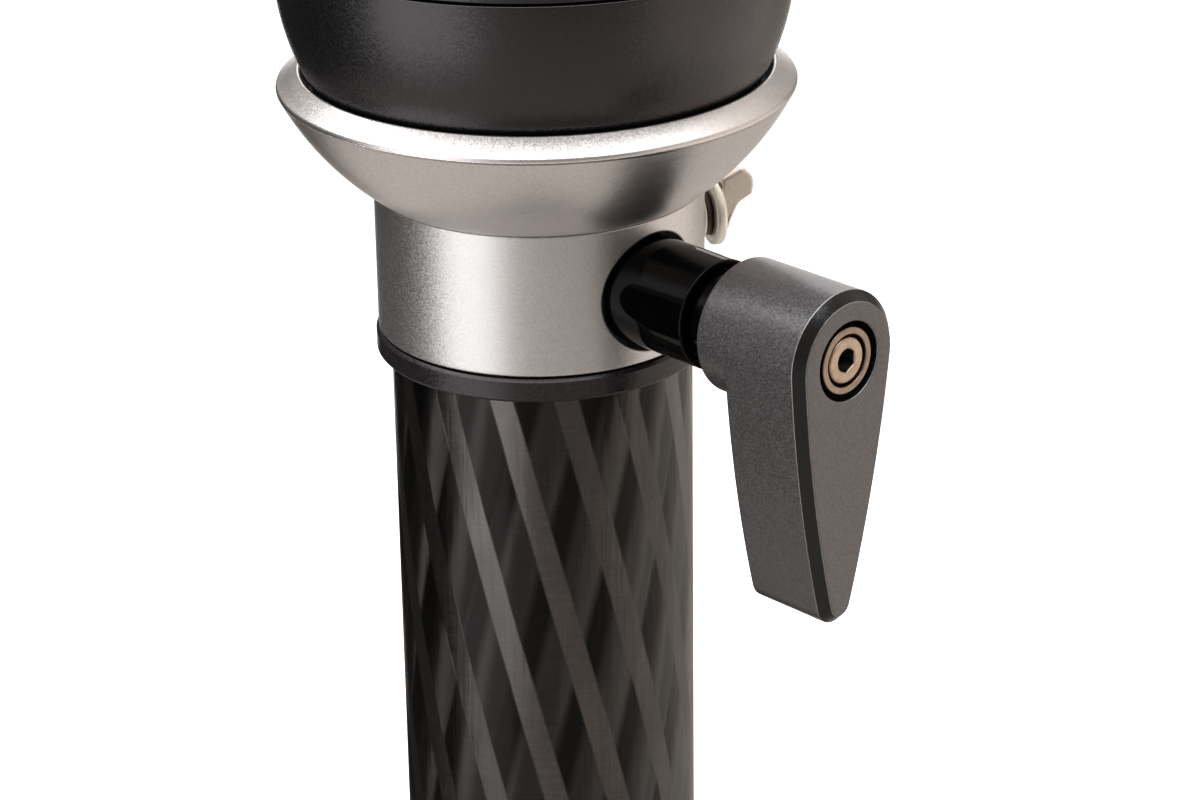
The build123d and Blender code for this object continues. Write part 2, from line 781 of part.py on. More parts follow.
# Cam shaft: far journal, offset cam, main journal, visible flange and a spindle for the lever
cam_length = draw_eye_depth + 2 * cam_overhang
cam_half = cam_length / 2
far_journal_reach = far_bore_end - apart
with BuildPart() as cam_shaft:
    turn(along_shaft(0, far_journal_radius, -far_journal_reach, -cam_half), shaft_plane, shaft_axis)
    with BuildSketch(across_shaft(-cam_half)):
        with Locations((0, -cam_throw)):
            Circle(cam_radius)
    extrude(amount=cam_length)
    turn([
        (cam_half, 0),
        (spindle_face, 0),
        (spindle_face, spindle_radius),
        (flange_face, spindle_radius),
        (flange_face, flange_radius),
        (bush_face + apart, flange_radius),
        (bush_face + apart, journal_radius),
        (cam_half, journal_radius),
    ], shaft_plane, shaft_axis)
    turn(along_shaft(0, screw_radius, screw_tip, spindle_face), shaft_plane, shaft_axis, Mode.SUBTRACT)
keep(cam_shaft.part, "cam_shaft")

with BuildPart() as lever_bush:
    turn([
        (spigot_outer, journal_radius + running),
        (bush_face - bush_recess_depth, journal_radius + running),
        (bush_face - bush_recess_depth, bush_recess_radius),
        (bush_face, bush_recess_radius),
        (bush_face, bush_radius - bush_chamfer),
        (bush_face - bush_chamfer, bush_radius),
        (spigot_outer, bush_radius),
    ], shaft_plane, shaft_axis)
keep(lever_bush.part, "lever_bush")

# Toothed insert on the shaft's spindle, with a neck that the lever slides on
with BuildPart() as lever_insert:
    with BuildSketch(across_shaft(lever_inner_face)):
        toothed_circle(tooth_outer_radius, tooth_inner_radius)
    extrude(amount=tooth_length)
    turn(along_shaft(0, neck_radius, tooth_face, ring_inner_face), shaft_plane, shaft_axis)
    turn(along_shaft(0, spindle_radius, flange_face, spindle_face), shaft_plane, shaft_axis, Mode.SUBTRACT)
    turn(along_shaft(0, screw_radius, screw_tip, ring_inner_face), shaft_plane, shaft_axis, Mode.SUBTRACT)
keep(lever_insert.part, "lever_insert")

with BuildPart() as lever_ring:
    turn([
        (ring_inner_face, screw_radius),
        (ring_inner_face, ring_radius),
        (ring_outer_face, ring_radius),
        (ring_outer_face, ring_bore_radius),
        (ring_inner_face + ring_floor, ring_bore_radius),
        (ring_inner_face + ring_floor, screw_radius),
    ], shaft_plane, shaft_axis)
keep(lever_ring.part, "lever_ring")

screw_head_face = ring_inner_face + ring_floor + screw_head_height
with BuildPart() as lever_screw:
    turn([
        (screw_tip, 0),
        (screw_head_face, 0),
        (screw_head_face, screw_head_radius),
        (ring_inner_face + ring_floor, screw_head_radius),
        (ring_inner_face + ring_floor, screw_radius),
        (screw_tip, screw_radius),
    ], shaft_plane, shaft_axis)
    with BuildSketch(across_shaft(screw_head_face - hex_depth)):
        RegularPolygon(hex_width / 2, 6, major_radius=False)
    extrude(amount=hex_depth, mode=Mode.SUBTRACT)
keep(lever_screw.part, "lever_screw")

# Lever: a round hub and a teardrop arm that leans a little. Its teeth are as long as its pull,
# so that a pull frees them.
lean_side = Vector(0, cos(radians(lever_lean)), -sin(radians(lever_lean)))
lever_tooth_end = tooth_face + apart
lever_tooth_start = lever_tooth_end - lever_pull
web_outer_face = lever_tooth_end + lever_web_thickness


def arm_plane(reach):
    """The plane of the arm's outline at a reach along the shaft, leaning with the lever."""
    return Plane(origin=(reach, 0, lever_height), x_dir=lean_side, z_dir=(1, 0, 0))


tip_centre = arm_tip_radius - arm_length
flank_reach = arm_flank_radius - arm_head_radius
flank_gain = (arm_flank_radius - arm_tip_radius) ** 2 - flank_reach**2 - tip_centre**2
flank_angle = degrees(asin(flank_gain / (-2 * tip_centre * flank_reach)))
flank_centre = Vector(-flank_reach * cos(radians(flank_angle)), flank_reach * sin(radians(flank_angle)))
tip_angle = degrees(atan2(flank_centre.Y - tip_centre, -flank_centre.X))


def on_flank(angle, side):
    """A point of the arm's long flank, where the angle counts down from level."""
    reach = flank_centre.X + arm_flank_radius * cos(radians(angle))
    return (side * reach, flank_centre.Y - arm_flank_radius * sin(radians(angle)))


with BuildPart() as lever:
    with BuildSketch(arm_plane(arm_inner_face)):
        with BuildLine():
            middle_angle = (flank_angle + tip_angle) / 2
            for side in (1, -1):
                ThreePointArc(
                    on_flank(flank_angle, side), on_flank(middle_angle, side), on_flank(tip_angle, side)
                )
            ThreePointArc(on_flank(tip_angle, 1), (0, -arm_length), on_flank(tip_angle, -1))
            ThreePointArc(on_flank(flank_angle, 1), (0, arm_head_radius), on_flank(flank_angle, -1))
        make_face()
    extrude(amount=lever_outer_face - arm_inner_face)
    arm_front = lever.faces().sort_by(Axis.X)[-1]
    chamfer(arm_front.edges(), arm_face_chamfer)
    turn([
        (lever_inner_face, 0),
        (lever_outer_face - arm_face_chamfer, 0),
        (lever_outer_face - arm_face_chamfer, lever_hub_radius),
        (lever_inner_face + lever_hub_edge, lever_hub_radius),
        (lever_inner_face, lever_hub_radius - lever_hub_edge),
    ], shaft_plane, shaft_axis)
    turn(along_shaft(0, lever_entry_radius, 0, lever_tooth_start), shaft_plane, shaft_axis, Mode.SUBTRACT)
    with BuildSketch(across_shaft(lever_tooth_start)):
        toothed_circle(tooth_outer_radius + tooth_play, tooth_inner_radius + tooth_play)
    extrude(amount=lever_tooth_end - lever_tooth_start, mode=Mode.SUBTRACT)
    neck_room = along_shaft(0, neck_radius + running, 0, lever_outer_face)
    turn(neck_room, shaft_plane, shaft_axis, Mode.SUBTRACT)
    well = along_shaft(0, lever_well_radius, web_outer_face, lever_outer_face + overrun)
    turn(well, shaft_plane, shaft_axis, Mode.SUBTRACT)
keep(lever.part, "lever")

lever_spring_length = ring_inner_face - web_outer_face - apart / 3
lever_spring = coil(
    lever_coil_radius, lever_wire_radius, lever_spring_length, lever_spring_turns,
    (web_outer_face + apart / 6, 0, lever_height), (1, 0, 0)
)
keep(lever_spring, "lever_spring")

# Flag screw in the collar's side: a stud with a dark neck, a bright washer and a one-sided flag
side_washer_inner = collar_radius + side_neck_length
side_washer_outer = side_washer_inner + side_washer_thickness
with BuildPart() as side_washer:
    ring = along_shaft(side_stud_radius + running, side_washer_radius, side_washer_inner, side_washer_outer)
    turn(ring, side_plane, side_axis)
keep(side_washer.part, "side_washer")

with BuildPart() as side_neck:
    neck = along_shaft(side_stud_radius + running, side_neck_radius, collar_radius, side_washer_inner)
    turn(neck, side_plane, side_axis)
keep(side_neck.part, "side_spacer")

flag_base = side_washer_outer + running
side_stud_tip = spigot_outer + running
with BuildPart() as flag:
    turn(along_shaft(0, side_stud_radius, side_stud_tip, flag_base), side_plane, side_axis)
    with BuildSketch(side_plane):
        with BuildLine():
            outer_arc = ThreePointArc(
                (flag_base + flag_reach, flag_low_rise),
                (flag_base + (flag_reach + flag_waist_reach * 2) / 2, (flag_low_rise + flag_rise) / 2),
                (flag_base + flag_reach - (flag_rise - flag_low_rise) / 2, flag_rise),
            )
            Polyline(
                outer_arc @ 1,
                (flag_base, flag_rise - flag_waist_rise),
                (flag_base, -flag_root_radius),
                (flag_base + flag_root_reach / 2, -flag_root_radius),
            )
            Spline(
                (flag_base + flag_root_reach / 2, -flag_root_radius),
                (flag_base + flag_root_reach, 0),
                (flag_base + flag_waist_reach, flag_waist_rise),
                outer_arc @ 0,
            )
        make_face()
    extrude(amount=flag_thickness / 2, both=True)
keep(flag.part, "side_flag_screw")

print("collar bottom", round(collar_bottom, 3), "ball centre", round(centre_height, 3))
print("lever axis", round(lever_height, 3), "foot pivot", round(pivot_height, 3))
print("stud tip", round(centre_height + stud_tip, 3), "hub", round(hub_bottom, 3), round(hub_top, 3))
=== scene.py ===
# %% [markdown]
# A camera monopod, from the head down to its feet.
# The measured model is loaded first and stays as it is: it says where each piece lies and what it rides on.
# Every piece that a camera comes close to is then made anew as a fine surface in the same place.

# %% Load the measured model
import json
import math
from collections import namedtuple

import bmesh
import bpy
import numpy as np
from mathutils import Matrix, Vector


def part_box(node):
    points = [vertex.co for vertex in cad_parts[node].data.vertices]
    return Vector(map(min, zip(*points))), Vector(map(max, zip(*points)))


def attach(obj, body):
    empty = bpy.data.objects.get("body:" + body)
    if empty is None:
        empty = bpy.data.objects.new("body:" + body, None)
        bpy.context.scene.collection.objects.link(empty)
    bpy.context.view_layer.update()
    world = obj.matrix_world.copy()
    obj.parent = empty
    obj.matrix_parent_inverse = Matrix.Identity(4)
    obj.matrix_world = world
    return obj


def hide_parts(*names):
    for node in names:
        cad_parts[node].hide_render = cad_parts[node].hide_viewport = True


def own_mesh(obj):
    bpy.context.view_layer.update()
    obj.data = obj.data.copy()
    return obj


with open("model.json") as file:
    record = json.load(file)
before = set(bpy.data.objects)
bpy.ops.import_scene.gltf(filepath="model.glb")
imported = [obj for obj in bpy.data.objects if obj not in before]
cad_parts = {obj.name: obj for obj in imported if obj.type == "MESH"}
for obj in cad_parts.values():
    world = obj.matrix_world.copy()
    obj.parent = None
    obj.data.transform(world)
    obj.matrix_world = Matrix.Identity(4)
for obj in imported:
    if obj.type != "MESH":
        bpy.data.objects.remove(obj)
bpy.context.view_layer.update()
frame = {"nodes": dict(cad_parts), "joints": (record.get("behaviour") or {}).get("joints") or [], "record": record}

# %% [markdown]
# Blender counts in metres, but a maker reads this object in millimetres.
# So every size below is in millimetres, and the last step of each mesh turns it into metres.
# The places come from the measured model: a node's box, or the point that a joint turns about.

# %% Sizes and places from the measured model
MILLIMETRE = 0.001
joints = {joint["name"]: joint for joint in frame["joints"]}
record = frame["record"]
body_of = {node: body for body, nodes in record["behaviour"]["bodies"].items() for node in nodes}


def box(node):
    """A node's lowest and highest corner, in millimetres."""
    low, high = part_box(node)
    return np.array(low) / MILLIMETRE, np.array(high) / MILLIMETRE


def radius_of(node):
    """Half the width of a node that is round about the leg."""
    low, high = box(node)
    return (high[1] - low[1]) / 2


def heights(node):
    """A node's lowest and highest place above the ground."""
    return tuple(corner[2] for corner in box(node))


def reaches(node):
    """A node's inner and outer end along the lever's shaft."""
    return tuple(corner[0] for corner in box(node))


def height_of(joint):
    """The height of the point that a hinge turns about."""
    return joints[joint]["pos_m"][2] / MILLIMETRE


running_gap = 0.06
three = ("1", "2", "3")
ball_height = height_of("ball_tilt")
shaft_height = height_of("lever_turn")
side_height = height_of("side_screw_turn")
side_direction = joints["side_screw_turn"]["axis"]
print("ball centre", round(ball_height, 2), "lever shaft", round(shaft_height, 2))

# %% [markdown]
# Most pieces here are turned on a lathe, so most of them are one outline that goes round an axis.
# An axis is a starting point and three directions: across, beside and along.
# The leg, the lever's shaft and the small flag screw each have their own.

# %% Axes that pieces are turned about
Axis = namedtuple("Axis", "origin across beside along")


def axis_through(origin, along, across):
    """An axis with its two cross directions; beside is along x across."""
    along, across = np.array(along, float), np.array(across, float)
    return Axis(np.array(origin, float), across, np.cross(along, across), along)


leg_axis = axis_through((0, 0, 0), (0, 0, 1), (1, 0, 0))
ball_axis = axis_through((0, 0, ball_height), (0, 0, 1), (1, 0, 0))
shaft_axis = axis_through((0, 0, shaft_height), (1, 0, 0), (0, 1, 0))
side_axis = axis_through((0, 0, side_height), side_direction, (-side_direction[1], side_direction[0], 0))
print("the flag screw points along", np.round(side_axis.along, 3).tolist())

# %% [markdown]
# A real edge is never sharp: the cutter or the blasting leaves a small round, which catches the light.
# So each corner of an outline carries a radius, and the corner turns into an arc that touches both its sides.
# All corners are rounded at once, as arrays.

# %% Outlines with rounded corners
fine_edge, small_edge, soft_edge = 0.1, 0.2, 0.3
no_length, no_angle = 1e-12, 1e-6


def unit(vectors):
    """Vectors of length one; a vector without length stays as it is."""
    return vectors / np.maximum(np.linalg.norm(vectors, axis=-1, keepdims=True), no_length)


def arc(radius, start, end, count=48, ends=(0, 0)):
    """Points of a circle about the axis's origin between two angles in degrees, counted up from level."""
    angles = np.radians(np.linspace(start, end, count))
    rounding = np.zeros(count)
    rounding[0], rounding[-1] = ends
    return np.stack([radius * np.cos(angles), radius * np.sin(angles), rounding], 1).tolist()


def rounded(corners, steps=5):
    """Round a closed outline. Each corner is (reach, height, radius).

    The arc's centre is on the corner's bisector, at radius / sin(half angle), and the arc runs
    between the two points that lie radius / tan(half angle) away from the corner.
    """
    corners = np.array([(*corner, 0)[:3] for corner in corners], float)
    place, radius = corners[:, :2], corners[:, 2:]
    back = unit(np.roll(place, 1, axis=0) - place)
    ahead = unit(np.roll(place, -1, axis=0) - place)
    half = np.arccos(np.clip((back * ahead).sum(1, keepdims=True), -1, 1)) / 2
    half = np.maximum(half, no_angle)
    centre = place + unit(back + ahead) * radius / np.sin(half)
    start = place + back * radius / np.tan(half) - centre
    end = place + ahead * radius / np.tan(half) - centre
    sweep = np.maximum(np.pi - 2 * half, no_angle)[:, None]
    share = np.linspace(0, 1, steps + 1)[None, :, None]
    swept = np.sin((1 - share) * sweep) * start[:, None] + np.sin(share * sweep) * end[:, None]
    points = centre[:, None] + swept / np.sin(sweep)
    wanted = (radius > 0) | (np.arange(steps + 1) == 0)
    return points[wanted]


def band(inner, outer, low, high, low_edge=0.0, high_edge=0.0):
    """A plain ring's outline, or a disc's where inner is zero; its two outer corners may be rounded."""
    return [(inner, low), (outer, low, low_edge), (outer, high, high_edge), (inner, high)]


# %% [markdown]
# A surface here is a grid of points, and neighbours in the grid make a face.
# Rows or columns may join up with the first one again: a ring does both, a cap's rows don't.
# Sheets that share an edge are made into one mesh, and points in the same place are merged.

# %% From grids of points to a finished piece
Sheet = namedtuple("Sheet", "points rows_close columns_close")
merge_distance = 0.0001


def quads(sheet, start):
    """The four corner numbers of each face between neighbouring rows and columns."""
    rows, columns = sheet.points.shape[:2]
    number = start + np.arange(rows * columns).reshape(rows, columns)
    if sheet.rows_close:
        number = np.vstack([number, number[:1]])
    if sheet.columns_close:
        number = np.hstack([number, number[:, :1]])
    corners = [number[:-1, :-1], number[:-1, 1:], number[1:, 1:], number[1:, :-1]]
    return np.stack(corners, -1).reshape(-1, 4)


def turned(corners, axis, columns=192, steps=5):
    """Turn an outline about an axis.

    point(a, row) = origin + height * along + reach * (cos a * across + sin a * beside)
    """
    outline = rounded(corners, steps)
    angle = np.linspace(0, 2 * np.pi, columns, endpoint=False)[:, None]
    ring = np.cos(angle) * axis.across + np.sin(angle) * axis.beside
    points = axis.origin + outline[:, 1, None, None] * axis.along + outline[:, 0, None, None] * ring
    on_axis = min(outline[0, 0], outline[-1, 0]) < merge_distance
    return Sheet(points, not on_axis, True)


def stands_for(piece, finish, nodes):
    """Give a piece its finish, even shading, and the body of the nodes that it replaces."""
    piece.data.shade_smooth()
    piece.data.materials.clear()
    piece.data.materials.append(finish)
    bpy.context.scene.collection.objects.link(piece)
    piece.modifiers.new("even_shading", "WEIGHTED_NORMAL").weight = 100
    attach(piece, body_of[nodes[0]])
    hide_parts(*nodes)
    print(piece.name, "has", len(piece.data.polygons), "faces")


def make_piece(name, sheets, finish, *nodes):
    """Join the sheets into one mesh with outward faces, which stands for its nodes."""
    starts = np.cumsum([0] + [sheet.points[..., 0].size for sheet in sheets])
    points = np.concatenate([sheet.points.reshape(-1, 3) for sheet in sheets]) * MILLIMETRE
    faces = np.concatenate([quads(sheet, start) for sheet, start in zip(sheets, starts)])
    mesh = bpy.data.meshes.new(name)
    mesh.from_pydata(points.tolist(), [], faces.tolist())
    work = bmesh.new()
    work.from_mesh(mesh)
    bmesh.ops.remove_doubles(work, verts=work.verts, dist=merge_distance * MILLIMETRE)
    bmesh.ops.recalc_face_normals(work, faces=work.faces)
    work.to_mesh(mesh)
    work.free()
    stands_for(bpy.data.objects.new(name, mesh), finish, nodes)


# %% [markdown]
# The camera stands where the photographer stood: a little above the head, looking down on it.
# Its place was solved from the circles of the collar and the bowl.
# The lens is long, so lines that go away from the camera hardly draw together.

# %% Camera
camera_azimuth = -42.26
camera_distance = 391.6
camera_height = 154.53
camera_pitch = 22.93
camera_yaw = 0.995
camera_roll = -0.814
camera_lens = 105.72
collar_low, collar_high = heights("collar")

azimuth = math.radians(camera_azimuth)
look = math.radians(camera_azimuth + 180 - camera_yaw)
pitch, roll = math.radians(camera_pitch), math.radians(camera_roll)
place = Vector((
    camera_distance * math.cos(azimuth),
    camera_distance * math.sin(azimuth),
    collar_low + camera_height,
)) * MILLIMETRE
forward = Vector((math.cos(pitch) * math.cos(look), math.cos(pitch) * math.sin(look), -math.sin(pitch)))
right = Vector((math.sin(look), -math.cos(look), 0))
up = right.cross(forward)
tilted_right = math.cos(roll) * right + math.sin(roll) * up
tilted_up = math.cos(roll) * up - math.sin(roll) * right

camera_data = bpy.data.cameras.new("photographer")
camera_data.lens = camera_lens
camera_data.clip_start = 0.01
camera = bpy.data.objects.new("photographer", camera_data)
bpy.context.scene.collection.objects.link(camera)
turn = Matrix((tilted_right, tilted_up, -forward)).transposed()
camera.matrix_world = Matrix.Translation(place) @ turn.to_4x4()
bpy.context.scene.camera = camera
print("camera stands", round(place.length, 3), "m from the floor point")

# %% [markdown]
# A finish is a small network of nodes. Python can write it the way one writes sums:
# a value on its way through the network is wrapped, and plus, minus and times on it add the nodes.

# %% Writing a finish as sums
MIX_SHARE, MIX_FIRST, MIX_SECOND, MIX_RESULT = 0, 6, 7, 2


class Value:
    """A socket's value, on which Python's own operators add Math nodes."""

    def __init__(self, finish, socket):
        self.finish = finish
        self.socket = socket

    def math(self, operation, *others):
        """One Math node on this value and the others."""
        inputs = dict(enumerate((self, *others)))
        return self.finish.node("ShaderNodeMath", {"operation": operation}, inputs)

    def __add__(self, other):
        return self.math("ADD", other)

    __radd__ = __add__

    def __sub__(self, other):
        return self.math("SUBTRACT", other)

    def __rsub__(self, other):
        return self.finish.node("ShaderNodeMath", {"operation": "SUBTRACT"}, {0: other, 1: self})

    def __mul__(self, other):
        return self.math("MULTIPLY", other)

    __rmul__ = __mul__

    def __truediv__(self, other):
        return self.math("DIVIDE", other)

    def clamp(self):
        """The value, kept between zero and one."""
        return self.math("MAXIMUM", 0.0).math("MINIMUM", 1.0)


class Finish:
    """One material: a Principled shader, its constant sockets, and what varies over the surface."""

    def __init__(self, name, **constants):
        self.material = bpy.data.materials.new(name)
        self.material.use_nodes = True
        self.tree = self.material.node_tree
        self.shader = self.tree.nodes["Principled BSDF"]
        for socket, value in constants.items():
            self.shader.inputs[socket.replace("_", " ")].default_value = value
        coordinates = self.node("ShaderNodeTexCoord", output="Object")
        self.place = self.node(
            "ShaderNodeVectorMath", {"operation": "SCALE"}, {0: coordinates, "Scale": 1 / MILLIMETRE}
        )

    def node(self, kind, settings=None, inputs=None, output=0):
        """Add a node: its type, its settings first, then its inputs, which are values or links."""
        made = self.tree.nodes.new(kind)
        for name, value in (settings or {}).items():
            setattr(made, name, value)
        for name, value in (inputs or {}).items():
            if isinstance(value, Value):
                self.tree.links.new(value.socket, made.inputs[name])
            else:
                made.inputs[name].default_value = value
        return Value(self, made.outputs[output])

    def noise(self, size, detail=2.0, place=None):
        """Soft cloudy noise whose clouds are about one size across, in millimetres."""
        inputs = {"Vector": place or self.place, "Scale": 1 / size, "Detail": detail}
        return self.node("ShaderNodeTexNoise", None, inputs)

    def stretched(self, along_x, along_y, along_z):
        """The place on the piece with each direction squeezed by a factor."""
        factors = (along_x, along_y, along_z)
        return self.node("ShaderNodeVectorMath", {"operation": "MULTIPLY"}, {0: self.place, 1: factors})

    def parts(self, vector=None):
        """The three coordinates of a place, in millimetres."""
        split = self.tree.nodes.new("ShaderNodeSeparateXYZ")
        self.tree.links.new((vector or self.place).socket, split.inputs[0])
        return [Value(self, output) for output in split.outputs]

    def mixed(self, share, first, second):
        """A colour between two colours."""
        inputs = {MIX_SHARE: share, MIX_FIRST: first, MIX_SECOND: second}
        return self.node("ShaderNodeMix", {"data_type": "RGBA"}, inputs, output=MIX_RESULT)

    def set(self, socket, value):
        """Link a value to one of the shader's sockets."""
        self.tree.links.new(value.socket, self.shader.inputs[socket])

    def flakes(self, size, tilt):
        """Tiny cells: a random number for each, and the surface's direction, which each tilts its own way."""
        inputs = {"Vector": self.place, "Scale": 1 / size}
        cells = self.node("ShaderNodeTexVoronoi", None, inputs, output="Color")
        half = (0.5, 0.5, 0.5)
        lean = self.node("ShaderNodeVectorMath", {"operation": "SUBTRACT"}, {0: cells, 1: half})
        lean = self.node("ShaderNodeVectorMath", {"operation": "SCALE"}, {0: lean, "Scale": tilt})
        return self.parts(cells)[0], self.tilted(lean)

    def tilted(self, lean):
        """The surface's direction with a small vector added."""
        own = self.node("ShaderNodeNewGeometry", output="Normal")
        leaning = self.node("ShaderNodeVectorMath", {"operation": "ADD"}, {0: own, 1: lean})
        return self.node("ShaderNodeVectorMath", {"operation": "NORMALIZE"}, {0: leaning})

    def bump(self, height, depth):
        """Raise the surface by a height from 0 to 1, times a depth in millimetres."""
        inputs = {"Strength": 1.0, "Distance": depth * MILLIMETRE, "Height": height}
        self.set("Normal", self.node("ShaderNodeBump", None, inputs))


def grey(level, warmth=0.0):
    """A grey of one level, a little warmer or cooler."""
    return (level * (1 + warmth), level, level * (1 - warmth), 1.0)


# %% [markdown]
# Polished black and blasted silver look like what stands around them, so the lights are large soft panels.
# Each is placed by its angle from the camera, which is how a photographer walks them round the set.
# The camera looks down, so an upright wall mirrors what is low: the side panels reach down to the ground.
# No light shows itself to the camera, so that the ground stays clean from every side.

# %% Soft lights
head_height = collar_high * MILLIMETRE
bpy.context.scene.view_settings.view_transform = "Standard"


def softbox(name, turn_degrees, rise_degrees, distance, centre_height, width, height, brightness, warmth):
    """A soft panel, turned away from the camera by an angle, that faces the head's axis."""
    around = azimuth + math.radians(turn_degrees)
    rise = math.radians(rise_degrees)
    outward = Vector((math.cos(rise) * math.cos(around), math.cos(rise) * math.sin(around), math.sin(rise)))
    data = bpy.data.lights.new(name, "AREA")
    data.shape = "RECTANGLE"
    data.size, data.size_y = width, height
    data.energy = brightness * math.pi * width * height
    data.color = grey(1.0, warmth)[:3]
    lamp = bpy.data.objects.new(name, data)
    bpy.context.scene.collection.objects.link(lamp)
    lamp.location = Vector((0, 0, centre_height)) + distance * outward
    lamp.rotation_mode = "QUATERNION"
    lamp.rotation_quaternion = outward.to_track_quat("Z", "Y")
    lamp.visible_camera = False
    print(name, "gives", round(data.energy, 1), "watts")


# Name, degrees round from the camera, degrees up, distance, centre's height, width, height, brightness,
# and warmth.
soft_panels = [
    ("left_panel", -51, 0, 1.1, 0.75, 0.92, 1.5, 1.7, -0.01),
    ("top_panel", -90, 84, 1.0, head_height, 1.6, 1.6, 3.6, 0.0),
    ("right_panel", 88, 0, 0.95, 0.66, 1.6, 1.3, 0.58, 0.11),
    ("back_panel", 180, 34, 1.6, head_height, 1.5, 0.9, 2.2, 0.0),
    ("low_panel", 180, 0, 1.5, 0.55, 0.9, 1.1, 1.3, 0.02),
    ("high_left_panel", -104, 50, 1.4, head_height, 1.0, 0.6, 1.7, 0.0),
    ("high_right_panel", 118, 44, 1.4, head_height, 1.1, 0.8, 0.55, 0.08),
]
for panel in soft_panels:
    softbox(*panel)

# %% [markdown]
# The ground is one pale sheet. For the camera it glows a little, more so farther out, so that it comes out
# white but keeps the object's shadow. Mirrors see it darker, as if the set stood in a dim room.
# It goes down with the lowest leg section, so the feet stand on it however far the leg is drawn out,
# and it is clear when seen from below.
# A black cloth stands at the back left, which only mirrors see: it draws the dark left edge of the metal.

# %% Ground, surroundings and black cloth
floor_half = 6.0
paper_dark, paper_light, paper_mirrored = 0.78, 0.82, 0.16
paper_cloud = 3.0
ground_mirrored = 0.36
room_mirrored = 0.22
mirrored_warmth = 0.12
glow_near, glow_far = 0.42, 1.0
glow_start, glow_end = 200.0, 1300.0
cloth_start, cloth_end, cloth_columns = -78, -164, 24
cloth_reach, cloth_height = 0.85, 0.92


def sheet_object(name, grid, finish):
    """A plain part of the set, from a grid of points in metres."""
    mesh = bpy.data.meshes.new(name)
    mesh.from_pydata(grid.reshape(-1, 3).tolist(), [], quads(Sheet(grid, False, False), 0).tolist())
    mesh.materials.append(finish)
    thing = bpy.data.objects.new(name, mesh)
    bpy.context.scene.collection.objects.link(thing)
    return thing


def pale_ground():
    """Pale for the camera, dim in mirrors, glowing more with distance, and clear when seen from below."""
    finish = Finish("pale_ground", Roughness=0.95, Specular_IOR_Level=0.0, Emission_Strength=1.0)
    seen = finish.node("ShaderNodeLightPath", output="Is Camera Ray")
    reach = finish.node("ShaderNodeVectorMath", {"operation": "LENGTH"}, {0: finish.place}, output="Value")
    far = ((reach - glow_start) / (glow_end - glow_start)).clamp()
    glow = finish.mixed(glow_near + far * (glow_far - glow_near), grey(0.0), grey(1.0))
    paper = finish.mixed(finish.noise(paper_cloud), grey(paper_dark), grey(paper_light))
    finish.set("Base Color", finish.mixed(seen, grey(paper_mirrored), paper))
    finish.set("Alpha", 1.0 - finish.node("ShaderNodeNewGeometry", output="Backfacing"))
    finish.set("Emission Color", finish.mixed(seen, grey(ground_mirrored, mirrored_warmth), glow))
    return finish.material


def black_cloth():
    """Almost no light comes back from it."""
    finish = Finish("black_cloth", Specular_IOR_Level=0.0)
    finish.set("Base Color", finish.mixed(finish.noise(2.0), grey(0.02), grey(0.03)))
    return finish.material


line = np.linspace(-floor_half, floor_half, 2)
floor_grid = np.stack(np.broadcast_arrays(line[None, :], line[:, None], 0.0), -1)
ground = sheet_object("ground", floor_grid, pale_ground())
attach(ground, body_of["leg_tube_4"])

cloth_turn = azimuth + np.radians(np.linspace(cloth_start, cloth_end, cloth_columns))
cloth_x, cloth_y = cloth_reach * np.cos(cloth_turn), cloth_reach * np.sin(cloth_turn)
cloth_z = np.array([[0.0], [cloth_height]])
cloth_grid = np.stack(np.broadcast_arrays(cloth_x, cloth_y, cloth_z), -1)
cloth = sheet_object("black_cloth", cloth_grid, black_cloth())
cloth.visible_camera = cloth.visible_diffuse = cloth.visible_shadow = cloth.visible_transmission = False

world = bpy.data.worlds.new("studio")
world.use_nodes = True
bpy.context.scene.world = world
tree = world.node_tree
seen = tree.nodes.new("ShaderNodeLightPath")
colour = tree.nodes.new("ShaderNodeMix")
colour.data_type = "RGBA"
colour.inputs[MIX_FIRST].default_value = grey(room_mirrored, mirrored_warmth)
colour.inputs[MIX_SECOND].default_value = grey(1.0)
tree.links.new(seen.outputs["Is Camera Ray"], colour.inputs[MIX_SHARE])
tree.links.new(colour.outputs[MIX_RESULT], tree.nodes["Background"].inputs["Color"])
print("set built:", len(bpy.data.lights), "lights")

# %% [markdown]
# Sand paint, blasted metal and anodising are all made of grains that are just too small to count.
# A bump of soft noise could stand for them, but it runs together into waves. Here each grain is one cell of
# a Voronoi pattern, which leans its own way and has its own shade and roughness, so a highlight breaks up.

# %% Finishes made of grains
def grained(name, size, tilt, dark, light, roughness, spread, **constants):
    """Each grain leans by its own share of tilt, is mixed from dark to light, and adds to the roughness."""
    finish = Finish(name, **constants)
    chance, leaning = finish.flakes(size, tilt)
    finish.set("Base Color", finish.mixed(chance, dark, light))
    finish.set("Roughness", roughness + chance * spread)
    finish.set("Normal", leaning)
    return finish.material


sand = grained(
    "sand_black", size=0.17, tilt=0.09, dark=grey(0.0005), light=grey(0.003), roughness=0.3, spread=0.08,
    Metallic=0.0, Specular_IOR_Level=0.66, Specular_Tint=(0.98, 0.94, 1.0, 1.0),
)
blasted = grained(
    "blasted_silver", size=0.15, tilt=0.055, dark=(0.54, 0.53, 0.535, 1.0), light=(0.665, 0.655, 0.66, 1.0),
    roughness=0.37, spread=0.06, Metallic=1.0,
)
anodised = grained(
    "black_anodised", size=0.18, tilt=0.07, dark=(0.021, 0.019, 0.021, 1.0), light=(0.037, 0.034, 0.037, 1.0),
    roughness=0.26, spread=0.08, Metallic=0.6,
)
print("grained finishes:", sand.name, blasted.name, anodised.name)

# %% [markdown]
# The bowl is blasted more finely than the collar, so the marks of the lathe still show through. They are
# noise that is stretched along the turning direction, and they go into the roughness alone.

# %% Finish of the bowl
turning_mark, turning_spread = 0.35, 0.07
along_turning = 0.02


